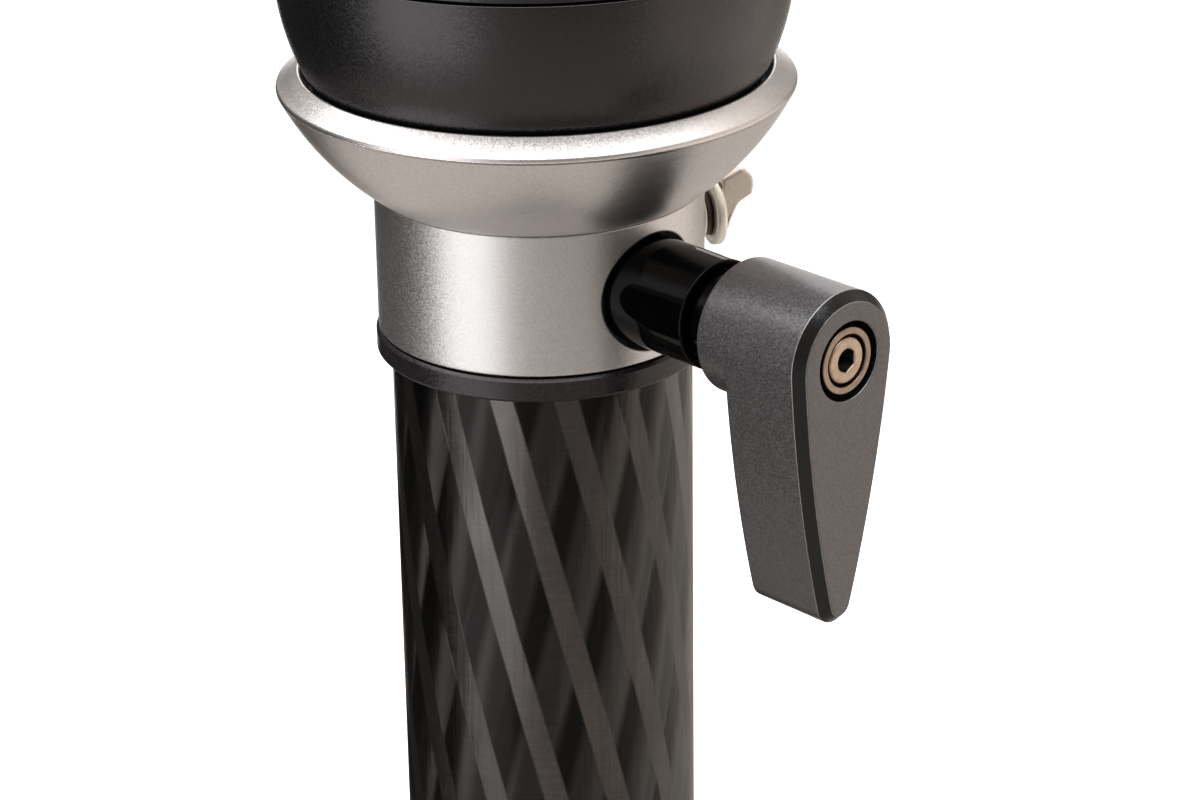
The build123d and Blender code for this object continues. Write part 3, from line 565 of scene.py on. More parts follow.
def satin_silver():
    """The grains of a fine blasting, with a roughness that changes from one turning mark to the next."""
    finish = Finish("satin_silver", Metallic=1.0)
    chance, leaning = finish.flakes(0.16, 0.05)
    marks = finish.noise(turning_mark, 3.0, finish.stretched(along_turning, along_turning, 1.0))
    finish.set("Base Color", finish.mixed(chance, (0.6, 0.575, 0.57, 1.0), (0.71, 0.68, 0.675, 1.0)))
    finish.set("Roughness", 0.31 + marks * turning_spread)
    finish.set("Normal", leaning)
    return finish.material


satin = satin_silver()
print("made", satin.name)

# %% [markdown]
# The lever has a graphite coat with metal flakes in it. Its bevel is smoother than its faces, and its colour
# is painted darker there, as painted shade; a thin painted highlight runs along the bevel's edges. The finish
# finds the bevel by its reach along the shaft, which is the same all round the lever.

# %% Finish of the lever
bevel_depth, bevel_margin = 1.2, 0.08
bevel_end = reaches("lever")[1] - bevel_margin
bevel_start = bevel_end + bevel_margin - bevel_depth
# Sharpness of the bevel's painted shade and of the painted highlight line along its edges, and the size of that
# highlight's patches.
shaded_bevel_sharpness, edge_highlight_sharpness = 20.0, 14.0
edge_highlight_patch = 0.9


def graphite_coat(shaded_bevel_start, shaded_bevel_end):
    """Flakes, painted shade on the bevel between the two reaches, and a painted highlight line that fades with the
    distance from their ends.
    """
    finish = Finish("graphite_coat", Metallic=0.82)
    chance, leaning = finish.flakes(0.18, 0.07)
    reach = finish.parts()[0]
    past_start, before_end = reach - shaded_bevel_start, shaded_bevel_end - reach
    shaded_bevel = (past_start * shaded_bevel_sharpness).clamp() * (before_end * shaded_bevel_sharpness).clamp()
    near_edge = past_start.math("ABSOLUTE").math("MINIMUM", before_end.math("ABSOLUTE"))
    edge_highlight = (1.0 - near_edge * edge_highlight_sharpness).clamp() * finish.noise(edge_highlight_patch, 3.0)
    coat = finish.mixed(chance, (0.11, 0.106, 0.11, 1.0), (0.15, 0.145, 0.15, 1.0))
    # The bevel's colour is painted darker, as painted shade, and a thin painted highlight is mixed in along its
    # edges.
    coat = finish.mixed(shaded_bevel, coat, grey(0.03))
    finish.set("Base Color", finish.mixed(edge_highlight, coat, grey(0.42)))
    finish.set("Roughness", 0.34 + chance * 0.06 - shaded_bevel * 0.12)
    finish.set("Normal", leaning)
    return finish.material


graphite = graphite_coat(bevel_start, bevel_end)
print("made", graphite.name, "with its bevel between", round(bevel_start, 2), "and", round(bevel_end, 2))

# %% [markdown]
# Polished black has hardly any colour of its own. What tells it from a hole is what it mirrors, and a trace
# of smears in its roughness keeps those reflections from looking like glass.

# %% Finish of the bush and the shaft
def gloss_black():
    """Polished black, with a trace of wear that only shows in its reflections."""
    finish = Finish("gloss_black", Metallic=0.0, Specular_IOR_Level=0.11)
    smears = finish.noise(3.0, 3.0)
    finish.set("Base Color", finish.mixed(smears, grey(0.0004), grey(0.0012)))
    finish.set("Roughness", 0.04 + smears * 0.06)
    return finish.material


gloss = gloss_black()
print("made", gloss.name)

# %% [markdown]
# The small steel pieces are turned and polished. Their colour drifts a little, and the cutter leaves a grain
# that is too fine to model, so it lives in the roughness and in a bump of a few thousandths of a millimetre.
# The lever's screw is bronze-tinted, and its socket is painted near black, as painted shade in the recess.

# %% Finishes of the small steel pieces
steel_grain, steel_spread, steel_depth = 0.1, 0.14, 0.008
steel_drift, bronze_drift = 1.2, 0.8
# Sharpness of the socket's painted shade, and the roughness it adds.
socket_shade_sharpness, socket_shade_roughness = 8.0, 0.2


def turned_steel(name, dark, light, roughness):
    """A colour that drifts from dark to light, and a grain that adds to the roughness and the surface."""
    finish = Finish(name, Metallic=1.0)
    grain = finish.noise(steel_grain, 2.0)
    finish.set("Base Color", finish.mixed(finish.noise(steel_drift, 3.0), dark, light))
    finish.set("Roughness", roughness + grain * steel_spread)
    finish.bump(grain, steel_depth)
    return finish.material


def socket_with_painted_shade(opening, deepest, rim):
    """Bronze-tinted steel, with painted shade where distance from the shaft's line < opening and deepest < reach <
    rim.
    """
    finish = Finish("socket_with_painted_shade", Metallic=1.0)
    x, y, z = finish.parts()
    out = (y * y + (z - shaft_height) * (z - shaft_height)).math("SQRT")
    inside = ((opening - out) * socket_shade_sharpness).clamp()
    inside = inside * ((rim - x) * socket_shade_sharpness).clamp() * ((x - deepest) * socket_shade_sharpness).clamp()
    grain = finish.noise(steel_grain, 2.0)
    steel = finish.mixed(finish.noise(bronze_drift, 3.0), (0.3, 0.22, 0.165, 1), (0.6, 0.47, 0.37, 1))
    # Inside the socket the colour is painted near black: painted shade in the recess.
    finish.set("Base Color", finish.mixed(inside, steel, grey(0.012)))
    finish.set("Roughness", 0.24 + grain * steel_spread + inside * socket_shade_roughness)
    finish.bump(grain, steel_depth)
    return finish.material


bronze_steel = turned_steel("bronze_steel", (0.16, 0.115, 0.085, 1), (0.42, 0.33, 0.27, 1), 0.22)
bright_steel = turned_steel("bright_steel", grey(0.5, 0.02), grey(0.68, 0.02), 0.2)
cream_steel = turned_steel("cream_steel", (0.9, 0.86, 0.8, 1), (0.96, 0.93, 0.88, 1), 0.42)
neck_steel = turned_steel("neck_steel", (0.09, 0.07, 0.055, 1), (0.15, 0.12, 0.1, 1), 0.4)
flag_steel = turned_steel("flag_steel", (0.7, 0.63, 0.57, 1), (0.84, 0.78, 0.72, 1), 0.34)
print("the bright steel is", bright_steel.name, "and the darkest", neck_steel.name)

# %% [markdown]
# Rubber and nylon are moulded. They are matt, their black is never even, and the mould's own fine grain is
# on them, as a bump.

# %% Finishes of the rubber and nylon pieces
cloud_size, cloud_lift, mould_spread = 6.0, 1.7, 0.15


def moulded(name, level, roughness, grain_size, depth):
    """A grey that drifts from level to level * cloud_lift, and a grain of the mould, of a depth."""
    finish = Finish(name, Metallic=0.0, Specular_IOR_Level=0.35)
    grain = finish.noise(grain_size, 3.0)
    finish.set("Base Color", finish.mixed(finish.noise(cloud_size), grey(level), grey(level * cloud_lift)))
    finish.set("Roughness", roughness + grain * mould_spread)
    finish.bump(grain, depth)
    return finish.material


black_rubber = moulded("black_rubber", 0.014, 0.62, grain_size=0.3, depth=0.03)
black_nylon = moulded("black_nylon", 0.035, 0.45, grain_size=0.5, depth=0.02)
print("finishes so far:", len(bpy.data.materials))

# %% [markdown]
# The tube is wound from carbon tape in two crossing directions, under a thin clear coat.
# A tape is light or dark by how its fibres face the lamp: so each direction tilts the shading to its own side.
# The angle round the tube and the height give a number that grows by one from tape to tape;
# its whole part names the tape, and its fraction says how far across the tape a point lies.

# %% Finish of the carbon tubes
tape_pitch = 7.54
tape_angle = 14.0
over_width, under_width = 0.38, 0.62
over_shift, under_shift = 0.03, -0.14
over_sharpness, under_sharpness = 26.0, 7.0
over_seed, under_seed = 11.3, 47.9
over_tilt, under_tilt, under_bulge, fibre_tilt = -0.08, 0.25, 1.1, 0.25
resin_level = 0.007


def carbon(name, tube_radius):
    """Clear-coated carbon with tapes that cross at a small angle to the tube."""
    finish = Finish(name, Metallic=0.95, Coat_Weight=0.12, Coat_Roughness=0.15)
    x, y, z = finish.parts()
    angle = y.math("ARCTAN2", x)
    count = round(2 * math.pi * tube_radius / tape_pitch)
    climb = math.tan(math.radians(tape_angle)) * count / (2 * math.pi * tube_radius)

    def tapes(side, width, shift, sharpness, seed):
        """Where the tapes of one direction lie, how far across each a point is, and a chance for each."""
        number = angle * (count / (2 * math.pi)) + z * (side * climb) + shift
        across = number.math("FRACT")
        mask = ((width / 2 - (across - 0.5).math("ABSOLUTE")) * sharpness + 0.5).clamp()
        tape = number.math("FLOOR").math("FLOORED_MODULO", float(count))
        chance = finish.node("ShaderNodeTexWhiteNoise", {"noise_dimensions": "1D"}, {"W": tape + seed})
        return mask, across, chance

    over, _, over_chance = tapes(1, over_width, over_shift, over_sharpness, over_seed)
    under, under_across, under_chance = tapes(-1, under_width, under_shift, under_sharpness, under_seed)
    mottle = finish.noise(7.0, 3.0, finish.stretched(1.0, 1.0, 0.35))
    fibre = finish.noise(0.3, 2.0, finish.stretched(1.0, 1.0, 0.05))
    ridges = finish.noise(0.32, 1.0, finish.stretched(0.12, 0.12, 1.0))

    grain = 0.6 + fibre * 0.4 + ridges * 0.4
    under_level = under * (0.004 + under_chance * 0.01 + mottle * 0.018)
    over_level = 0.012 + over_chance * 0.035 + mottle * 0.07
    shade = (over_level * over + (1 - over) * (resin_level + under_level)) * grain
    finish.set("Base Color", finish.mixed(shade, grey(0.0), (1.07, 0.99, 0.97, 1.0)))
    finish.set("Roughness", 0.26 + ridges * 0.12)

    normal = finish.node("ShaderNodeNewGeometry", output="Normal")
    beside = finish.node("ShaderNodeVectorMath", {"operation": "CROSS_PRODUCT"}, {0: (0, 0, 1), 1: normal})
    bulge = under_tilt + (under_across - 0.5) * under_bulge
    tilt = over * over_tilt + (1 - over) * under * bulge + (fibre - 0.5) * fibre_tilt
    lean = finish.node("ShaderNodeVectorMath", {"operation": "SCALE"}, {0: beside, "Scale": tilt})
    finish.set("Normal", finish.tilted(lean))
    return finish.material

# %% [markdown]
# The half ball is a hollow ball, cut off just above its middle. What shows is its round side and the dark line
# at its top, where the platform turns on it. Both edges of that line are rounded, so they catch a thin light.

# %% Half ball
ball_radius = radius_of("half_ball")
ball_top = heights("half_ball")[1] - ball_height
ball_wall = 4.0
ball_hole = 13.5
ledge_bore = 22.06
ledge_depth = 3.2
ball_edge = 0.16
cavity = ball_radius - ball_wall
ledge_low = ball_top - ledge_depth


def rise_to(height, radius):
    """Degrees from level to a height on a circle about the ball's centre: asin(height / radius)."""
    return math.degrees(math.asin(height / radius))


def drop_to(reach, radius):
    """Degrees from level down to a reach on a circle about the ball's centre: -acos(reach / radius)."""
    return -math.degrees(math.acos(reach / radius))


half_ball_outline = [
    *arc(
        ball_radius, drop_to(ball_hole, ball_radius), rise_to(ball_top, ball_radius), 96,
        ends=(ball_edge, ball_edge),
    ),
    (ledge_bore, ball_top, ball_edge),
    (ledge_bore, ledge_low, ball_edge),
    *arc(cavity, rise_to(ledge_low, cavity), drop_to(ball_hole, cavity), 48),
]
make_piece("half_ball_shell", [turned(half_ball_outline, ball_axis, 288)], sand, "half_ball")

# %% [markdown]
# The platform turns on the half ball and carries the camera. It has the same sand finish, and a rubber ring
# on top whose ribs keep the camera from turning. Both are outlines turned about the ball's upright line.

# %% Platform
platform_radius = radius_of("platform")
platform_top = heights("platform")[1] - ball_height
platform_gap = 0.3
platform_low = ball_top + platform_gap
platform_bevel = 1.0
platform_edge = 0.3
pad_outer = radius_of("platform_pad")
pad_inner = 8.0
pad_low, pad_top = (height - ball_height for height in heights("platform_pad"))
skirt_outer, skirt_inner, skirt_low = 22.0, 19.5, -3.4
stud_seat = 5.5
pocket_top = 8.95

platform_outline = [
    (stud_seat, pocket_top),
    (skirt_inner, pocket_top),
    (skirt_inner, skirt_low, platform_edge),
    (skirt_outer, skirt_low, platform_edge),
    (skirt_outer, platform_low),
    (platform_radius, platform_low, ball_edge),
    (platform_radius, platform_top - platform_bevel, platform_edge),
    (platform_radius - platform_bevel, platform_top, platform_edge),
    (pad_outer, platform_top, platform_edge / 2),
    (pad_outer, pad_low),
    (pad_inner, pad_low),
    (pad_inner, platform_top, platform_edge / 2),
    (stud_seat, platform_top),
]
make_piece("platform_disc", [turned(platform_outline, ball_axis, 256)], sand, "platform")

pad_rib_count = 5
pad_rib_depth = 0.35
pad_edge = 0.2
rib_width = (pad_outer - pad_inner) / (2 * pad_rib_count + 1)
groove_profile = ((1, 0), (1.25, 1), (1.75, 1), (2, 0))
pad_ribs = [
    (pad_inner + rib_width * (2 * i + step), pad_top - pad_rib_depth * low, pad_edge / 2)
    for i in range(pad_rib_count)
    for step, low in groove_profile
]
pad_outline = [
    (pad_outer, pad_low, pad_edge),
    (pad_inner, pad_low, pad_edge),
    (pad_inner, pad_top, pad_edge),
    *pad_ribs,
    (pad_outer, pad_top, pad_edge),
]
make_piece("grip_ring", [turned(pad_outline, ball_axis, 160, 3)], black_rubber, "platform_pad")

# %% [markdown]
# The camera stud has a real thread: the reach of each point depends on its height and on its angle,
# so the ridge climbs by one pitch in each turn. It fades out at the tip, as a cut thread does.

# %% Camera stud
stud_radius = 4.7625
thread_pitch = 25.4 / 16
thread_depth = 0.85
thread_flank, thread_root = 2.4, 0.5
stud_low, stud_high = platform_top, heights("camera_stud")[1] - ball_height
tip_bevel = 0.9
flange_reach, flange_depth, seat_edge = 8.0, 3.0, 0.15


def threaded(radius, low, high, bevel, axis, pitch, depth, columns=96, rows_per_turn=14):
    """A threaded rod: reach = radius - depth * ridge(height / pitch - angle / turn), and a bevelled tip.

    ridge(p) = thread_flank * |2p - 1| - thread_root, kept between zero and one.
    """
    rows = int((high - low) / pitch * rows_per_turn)
    height = np.linspace(low, high, rows)[:, None]
    angle = np.linspace(0, 2 * np.pi, columns, endpoint=False)[None, :]
    phase = (height / pitch - angle / (2 * np.pi)) % 1
    ridge = np.clip(thread_flank * np.abs(2 * phase - 1) - thread_root, 0, 1)
    reach = np.minimum(radius - depth * ridge, radius - bevel + (high - height))
    reach = np.vstack([np.zeros((1, columns)), reach, np.zeros((1, columns))])
    height = np.vstack([height[:1], height, height[-1:]])
    ring = np.cos(angle)[..., None] * axis.across + np.sin(angle)[..., None] * axis.beside
    return Sheet(axis.origin + height[..., None] * axis.along + reach[..., None] * ring, False, True)


stud_flange = [
    (0, pocket_top - flange_depth),
    (flange_reach, pocket_top - flange_depth, soft_edge),
    (flange_reach, pocket_top, soft_edge),
    (stud_seat, pocket_top),
    (stud_seat, platform_top, seat_edge),
    (0, platform_top),
]
stud_thread = threaded(stud_radius, stud_low, stud_high, tip_bevel, ball_axis, thread_pitch, thread_depth)
make_piece("threaded_stud", [stud_thread, turned(stud_flange, ball_axis, 96)], bright_steel, "camera_stud")

# %% [markdown]
# The bowl is turned from aluminium. Its underside is part of a ball, its rim is a broad bevel, and the
# bevel faces the light overhead, which makes it the brightest band of the whole object.
# All its arcs are about the half ball's centre, so an arc needs only a radius and where it starts and ends.

# %% Bowl
bowl_sphere = 33.9
bowl_low = heights("bowl")[0] - ball_height
bowl_bore = 3.06
edge_angle = 26.26
lip_angle = 25.24
lip_clear_angle = 2.0
lip_sphere = 30.4
bowl_edge = 0.5
lip_edge = 0.3
lip_turn = math.radians(lip_angle)
foot_angle = rise_to(bowl_low, bowl_sphere)
pocket_sphere = 31.15
pocket_high, pocket_low = -15.0, -27.4

bowl_outline = [
    (bowl_bore, bowl_low),
    *arc(bowl_sphere, foot_angle, -edge_angle, 64, ends=(small_edge, bowl_edge)),
    (lip_sphere * math.cos(lip_turn), -lip_sphere * math.sin(lip_turn), lip_edge),
    *arc(lip_sphere, -lip_angle - lip_clear_angle, rise_to(pocket_high, lip_sphere), 8),
    *arc(pocket_sphere, rise_to(pocket_high, pocket_sphere), rise_to(pocket_low, pocket_sphere), 32),
    *arc(lip_sphere, rise_to(pocket_low, lip_sphere), drop_to(bowl_bore, lip_sphere), 24),
]
make_piece("bowl_shell", [turned(bowl_outline, ball_axis, 288)], satin, "bowl")

# %% [markdown]
# The collar is a plain ring with one large hole in its side, for the bush. A hole in a curved wall could be
# cut with a Boolean, but its long thin faces shade badly. Here the wall is unrolled flat instead:
# a patch of it runs from a circle to a square, and the rest is a plain grid that shares the square's points.

# %% Collar
collar_radius = radius_of("collar")
collar_bore = 15.6
collar_edge = 0.25
hole_radius = 7.0
hole_seat = 17.4
hole_edge = 0.3
bush_bottom, bush_top = heights("lever_bush")
bush_radius = (bush_top - bush_bottom) / 2
patch_half_angle = math.radians(31)
patch_columns = 48
wall_columns = 192
patch_rows = 32
wall_start, wall_end = 0.6, 16.9
wall_low = collar_low + wall_start
wall_high = collar_low + wall_end
seam_gap, seam_edge = 0.02, 0.12


def around_leg(radius, angle, height):
    """Points on the leg's axis grid: radius * (cos angle, sin angle), height."""
    return np.stack(np.broadcast_arrays(radius * np.cos(angle), radius * np.sin(angle), height), -1)


wall_angles = np.concatenate([
    np.linspace(-patch_half_angle, patch_half_angle, patch_columns + 1),
    np.linspace(patch_half_angle, 2 * np.pi - patch_half_angle, wall_columns + 1)[1:-1],
])
wall_heights = np.linspace(wall_low, wall_high, patch_rows + 1)


def patch_border():
    """The square's points in turn, as an angle round the leg and a height: bottom, right, top, left."""
    across = wall_angles[:patch_columns + 1]
    angle = np.concatenate([
        across[:-1], np.full(patch_rows, across[-1]), across[:0:-1], np.full(patch_rows, across[0])
    ])
    height = np.concatenate([
        np.full(patch_columns, wall_low), wall_heights[:-1],
        np.full(patch_columns, wall_high), wall_heights[:0:-1],
    ])
    return angle, height


def wall_with_hole(radius, hole, edge, depth_end, rows=14):
    """A round wall with a bored hole, from the hole's far end out to the square.

    On the wall, a point of the hole's rim at (y, z) has the angle asin(y / radius) round the leg,
    and the rows between rim and square are steps along a straight line in angle and height.
    """
    angle, height = patch_border()
    turn_angle = np.arctan2(height - shaft_height, radius * angle)
    bend = np.linspace(0, np.pi / 2, 6)[:, None]
    rim = hole + edge * (1 - np.cos(bend))
    y, z = rim * np.cos(turn_angle), rim * np.sin(turn_angle)
    surface = np.sqrt(radius**2 - y**2)
    sign = 1 if depth_end < radius else -1
    x = surface - sign * edge * (1 - np.sin(bend))
    rim_points = np.stack([x, y, z + shaft_height], -1)
    far = rim_points[:1].copy()
    far[..., 0] = depth_end
    share = (np.linspace(0, 1, rows) ** 1.5)[1:, None]
    rim_angle = np.arcsin(y[-1] / radius)
    patch_angle = rim_angle + share * (angle - rim_angle)
    patch_height = z[-1] + shaft_height + share * (height - z[-1] - shaft_height)
    patch = around_leg(radius, patch_angle, patch_height)
    return Sheet(np.concatenate([far, rim_points, patch]), False, True)


def plain_wall(radius):
    """The rest of the wall, past the square."""
    angles = np.append(wall_angles[patch_columns:], wall_angles[0] + 2 * np.pi)
    return Sheet(around_leg(radius, angles[None, :], wall_heights[:, None]), False, False)


def collar_ring(corners, steps=5):
    """A ring of the collar above or below the wall, with the wall's own columns."""
    outline = rounded(corners, steps)
    return Sheet(around_leg(outline[:, :1], wall_angles[None, :], outline[:, 1:]), False, True)


seam_height = ball_height - math.sqrt(bowl_sphere**2 - collar_radius**2)
inner_seam = ball_height - math.sqrt(bowl_sphere**2 - collar_bore**2)
collar_foot = collar_ring([
    (collar_bore, wall_low),
    (collar_bore, collar_low, fine_edge),
    (collar_radius, collar_low, collar_edge),
    (collar_radius, wall_low),
])
collar_crown = collar_ring([
    (collar_radius, wall_high),
    (collar_radius, seam_height - seam_gap, seam_edge),
    (collar_bore, inner_seam, fine_edge),
    (collar_bore, wall_high),
])
border_angle, border_height = patch_border()
seat_angle = np.arctan2(border_height - shaft_height, collar_radius * border_angle)
seat_radius = np.array([[hole_radius], [bush_radius]])
seat_y, seat_z = seat_radius * np.cos(seat_angle), shaft_height + seat_radius * np.sin(seat_angle)
seat = np.stack([np.full_like(seat_y, hole_seat), seat_y, seat_z], -1)
make_piece(
    "collar_ring",
    [
        wall_with_hole(collar_radius, hole_radius, hole_edge, hole_seat),
        plain_wall(collar_radius),
        collar_foot,
        collar_crown,
        Sheet(seat, False, True),
        plain_wall(collar_bore),
    ],
    blasted, "collar",
)

# %% [markdown]
# A thin black ring closes the seam between the collar and the carbon. Its outer edges are bevelled, and the
# roundings of the bevel draw the two fine lines of light that the ring shows.

# %% Trim ring
trim_radius = radius_of("trim_ring")
trim_low, trim_high = heights("trim_ring")
trim_bevel, trim_edge = 0.35, 0.12
tube_radius = 18.0
trim_outline = [
    (tube_radius, trim_low),
    (trim_radius - trim_bevel, trim_low, fine_edge),
    (trim_radius, trim_low + trim_bevel, trim_edge),
    (trim_radius, trim_high - trim_bevel, trim_edge),
    (trim_radius - trim_bevel, trim_high, fine_edge),
    (tube_radius, trim_high),
]
make_piece("tube_trim", [turned(trim_outline, leg_axis, 256)], anodised, "trim_ring")

# %% [markdown]
# The four tubes slide in each other like a telescope. The shape is a plain ring, because the tapes are too
# thin to stand proud: they are in the finish, which needs each tube's radius so that whole tapes go round it.

# %% Leg tubes
tube_wall = 1.5
for number in (*three, "4"):
    node = "leg_tube_" + number
    outer = radius_of(node)
    outline = band(outer - tube_wall, outer, *heights(node), small_edge, small_edge)
    make_piece(
        "carbon_tube_" + number, [turned(outline, leg_axis, 256)], carbon("carbon_" + number, outer), node
    )

# %% [markdown]
# The bush stands out of the collar and carries the lever's shaft. It is polished black, so its shape is told
# by reflections alone: a streak along its top, and a thin bright lip where its outer face is recessed.

# %% Bush and shaft
bush_low, bush_high = reaches("lever_bush")
journal = 4.0
recess_radius, recess_depth = 5.9, 0.6
recess_edge, bush_edge = 0.12, 0.25
flange_length, hole_gap = 0.5, 0.05
bush_outline = [
    (journal + running_gap, bush_low),
    (bush_radius, bush_low),
    (bush_radius, hole_seat),
    (hole_radius - hole_gap, hole_seat, small_edge),
    (hole_radius - hole_gap, hole_seat + flange_length, small_edge),
    (bush_radius, hole_seat + flange_length),
    (bush_radius, bush_high, bush_edge),
    (recess_radius, bush_high, recess_edge),
    (recess_radius, bush_high - recess_depth, fine_edge),
    (journal + running_gap, bush_high - recess_depth),
]
make_piece("shaft_bush", [turned(bush_outline, shaft_axis, 192)], gloss, "lever_bush")

# %% [markdown]
# The lever is one bar with two faces that matter: the flat outer face, and the bevel round it.
# Its outline is a teardrop of four arcs that flow into each other: a head, two long flanks and a small tip.

# %% Lever outline
lever_lean = math.radians(1.4)
head_radius = 7.87
tip_radius = 2.6
flank_radius = 166.0
lever_length = 31.8
tip_drop = lever_length - tip_radius


def teardrop(head_count=160, flank_count=120, tip_count=48):
    """The lever's outline and its outward directions, as (y, z) round the shaft.

    Each flank is an arc that touches the head's circle and the tip's circle from outside:
    its centre lies (flank - head) from the head's centre and (flank - tip) from the tip's.
    """
    reach = flank_radius - head_radius
    lift = ((flank_radius - tip_radius) ** 2 - reach**2 - tip_drop**2) / (2 * tip_drop)
    side = math.sqrt(reach**2 - lift**2)
    head_low = -math.asin(lift / reach)
    tip_low = -math.atan2(lift + tip_drop, side)

    def piece_of(centre, radius, start, end, count):
        angle = np.linspace(start, end, count, endpoint=False)
        outward = np.stack([np.cos(angle), np.sin(angle)], 1)
        return np.array(centre) + radius * outward, outward

    spans = [
        piece_of((0, 0), head_radius, head_low, math.pi - head_low, head_count),
        piece_of((side, lift), flank_radius, math.pi - head_low, math.pi - tip_low, flank_count),
        piece_of((0, -tip_drop), tip_radius, math.pi - tip_low, 2 * math.pi + tip_low, tip_count),
        piece_of((-side, lift), flank_radius, tip_low, head_low, flank_count),
    ]
    return (np.concatenate(values) for values in zip(*spans))


outline_points, outline_outward = teardrop()
print("lever outline has", len(outline_points), "points")

# %% [markdown]
# The lever could be cut from a block with Booleans, but then its bevel would be a fan of long thin faces.
# Here one grid makes all of it. Its rows run from the well in the outer face, over face, bevel and side,
# to the round hub and back inside, so every edge is a few rows that bend as a quarter circle.

# %% Lever
lever_low, lever_high = reaches("lever")
hub_radius, hub_edge = head_radius, 0.45
arm_inner_face = 38.1
arm_edge, arm_edge_share = 0.35, 0.4
face_bevel, bevel_edge = bevel_depth, 0.16
well_radius, well_floor, well_edge = 4.6, 40.7, 0.16
neck_bore = 2.76
tooth_start, tooth_end = 36.0, 39.5
tooth_bore, tooth_depth, tooth_count, tooth_slope = 5.12, 0.6, 16, 1.6
entry_radius, entry_edge = 5.7, 0.2
bend_steps = 5


def lever_sheet():
    """The lever's rows in turn: circles round the shaft, and insets of the outline, each at its reach.

    circle row = radius * (cos t, sin t); inset row = outline - distance * outward.
    """
    polar = np.arctan2(outline_points[:, 1], outline_points[:, 0])
    circle = np.stack([np.cos(polar), np.sin(polar)], 1)
    room = np.linalg.norm(outline_points - hub_radius * circle, axis=1)
    edge = np.minimum(arm_edge, arm_edge_share * room)[:, None]
    bend = np.linspace(0, np.pi / 2, bend_steps)
    out, over = 1 - np.cos(bend), 1 - np.sin(bend)
    wave = np.clip(tooth_slope * np.cos(polar * tooth_count) + 0.5, 0, 1)[:, None]
    tooth = tooth_bore - tooth_depth + tooth_depth * wave
    side = rounded([
        (-2 * face_bevel, lever_high),
        (-face_bevel, lever_high, bevel_edge),
        (0, lever_high - face_bevel, bevel_edge),
        (0, arm_inner_face + arm_edge),
    ], bend_steps)[1:-1]

    rows = [
        (circle * neck_bore, tooth_end), (circle * neck_bore, well_floor), (circle * well_radius, well_floor)
    ]
    rows += [(circle * (well_radius + well_edge * a), lever_high - well_edge * b) for a, b in zip(out, over)]
    rows += [(outline_points + outline_outward * inset, reach) for inset, reach in side]
    rows += [
        (outline_points - outline_outward * edge * a, arm_inner_face + edge * b) for a, b in zip(out, over)
    ]
    rows += [(circle * (hub_radius + edge * b), arm_inner_face - edge * a) for a, b in zip(out, over)]
    rows += [(circle * (hub_radius - hub_edge * a), lever_low + hub_edge * b) for a, b in zip(out, over)]
    rows += [(circle * (entry_radius + entry_edge * b), lever_low + entry_edge * a) for a, b in zip(out, over)]
    rows += [(circle * entry_radius, tooth_start), (circle * tooth, tooth_start), (circle * tooth, tooth_end)]

    curves = np.stack([curve for curve, _ in rows])
    reach = np.stack([np.broadcast_to(np.reshape(reach, (-1, 1))[:, 0], len(polar)) for _, reach in rows])
    cosine, sine = math.cos(lever_lean), math.sin(lever_lean)
    curves = curves @ np.array([[cosine, -sine], [sine, cosine]])
    return Sheet(np.stack([reach, curves[..., 0], curves[..., 1] + shaft_height], -1), True, True)


make_piece("clamp_lever", [lever_sheet()], graphite, "lever")

# %% [markdown]
# In the lever's well sits a bronze-tinted ring, and in it the screw that holds the lever. The ring is turned.
# The screw is turned too, but its hexagon isn't round, so the reach of those rows depends on the angle.

# %% Lever ring and screw
ring_low, ring_high = reaches("lever_ring")
ring_radius, ring_bore, ring_floor = 3.86, 3.05, 0.7
ring_edge, ring_bore_edge = 0.16, 0.12
screw_low, screw_high = reaches("lever_screw")
screw_radius, screw_head_radius, screw_head_length, screw_tip = 1.5, 2.67, 2.5, 0.3
head_edge, head_edge_middle = 0.22, 0.07
socket_width, socket_depth = 2.5, 1.5
drill_point, drill_share = 0.3, 0.75
socket_bevel, socket_bevel_depth, socket_rim, socket_rim_depth = 1.12, 0.2, 0.04, 0.02

ring_outline = [
    (screw_radius, ring_low),
    (ring_radius, ring_low, fine_edge),
    (ring_radius, ring_high, ring_edge),
    (ring_bore, ring_high, ring_bore_edge),
    (ring_bore, ring_low + ring_floor, fine_edge),
    (screw_radius, ring_low + ring_floor),
]
make_piece("well_ring", [turned(ring_outline, shaft_axis, 160)], bronze_steel, "lever_ring")


def socket_screw():
    """A socket head screw: the hexagon's reach at an angle is apothem / cos(angle from its flat's middle)."""
    columns = 192
    angle = np.linspace(0, 2 * np.pi, columns, endpoint=False)
    flat_angle = (angle + np.pi / 6) % (np.pi / 3) - np.pi / 6
    hexagon = socket_width / 2 / np.cos(flat_angle)
    bevelled = np.maximum(hexagon, socket_width / 2 * socket_bevel)
    head_low = screw_high - screw_head_length
    rows = [
        (0, screw_high - socket_depth - drill_point),
        (hexagon * drill_share, screw_high - socket_depth),
        (hexagon, screw_high - socket_depth),
        (hexagon, screw_high - socket_bevel_depth),
        (bevelled, screw_high - socket_rim_depth),
        (bevelled + socket_rim, screw_high),
        (screw_head_radius - head_edge, screw_high),
        (screw_head_radius - head_edge_middle, screw_high - head_edge_middle),
        (screw_head_radius, screw_high - head_edge),
        (screw_head_radius, head_low),
        (screw_radius, head_low),
        (screw_radius, screw_low + screw_tip),
        (screw_radius - screw_tip, screw_low),
        (0, screw_low),
    ]
    reach = np.stack([np.broadcast_to(row_reach, columns) for row_reach, _ in rows])[..., None]
    along = np.array([row_along for _, row_along in rows])[:, None, None]
    ring = np.cos(angle)[:, None] * shaft_axis.across + np.sin(angle)[:, None] * shaft_axis.beside
    return Sheet(shaft_axis.origin + along * shaft_axis.along + reach * ring, False, True)


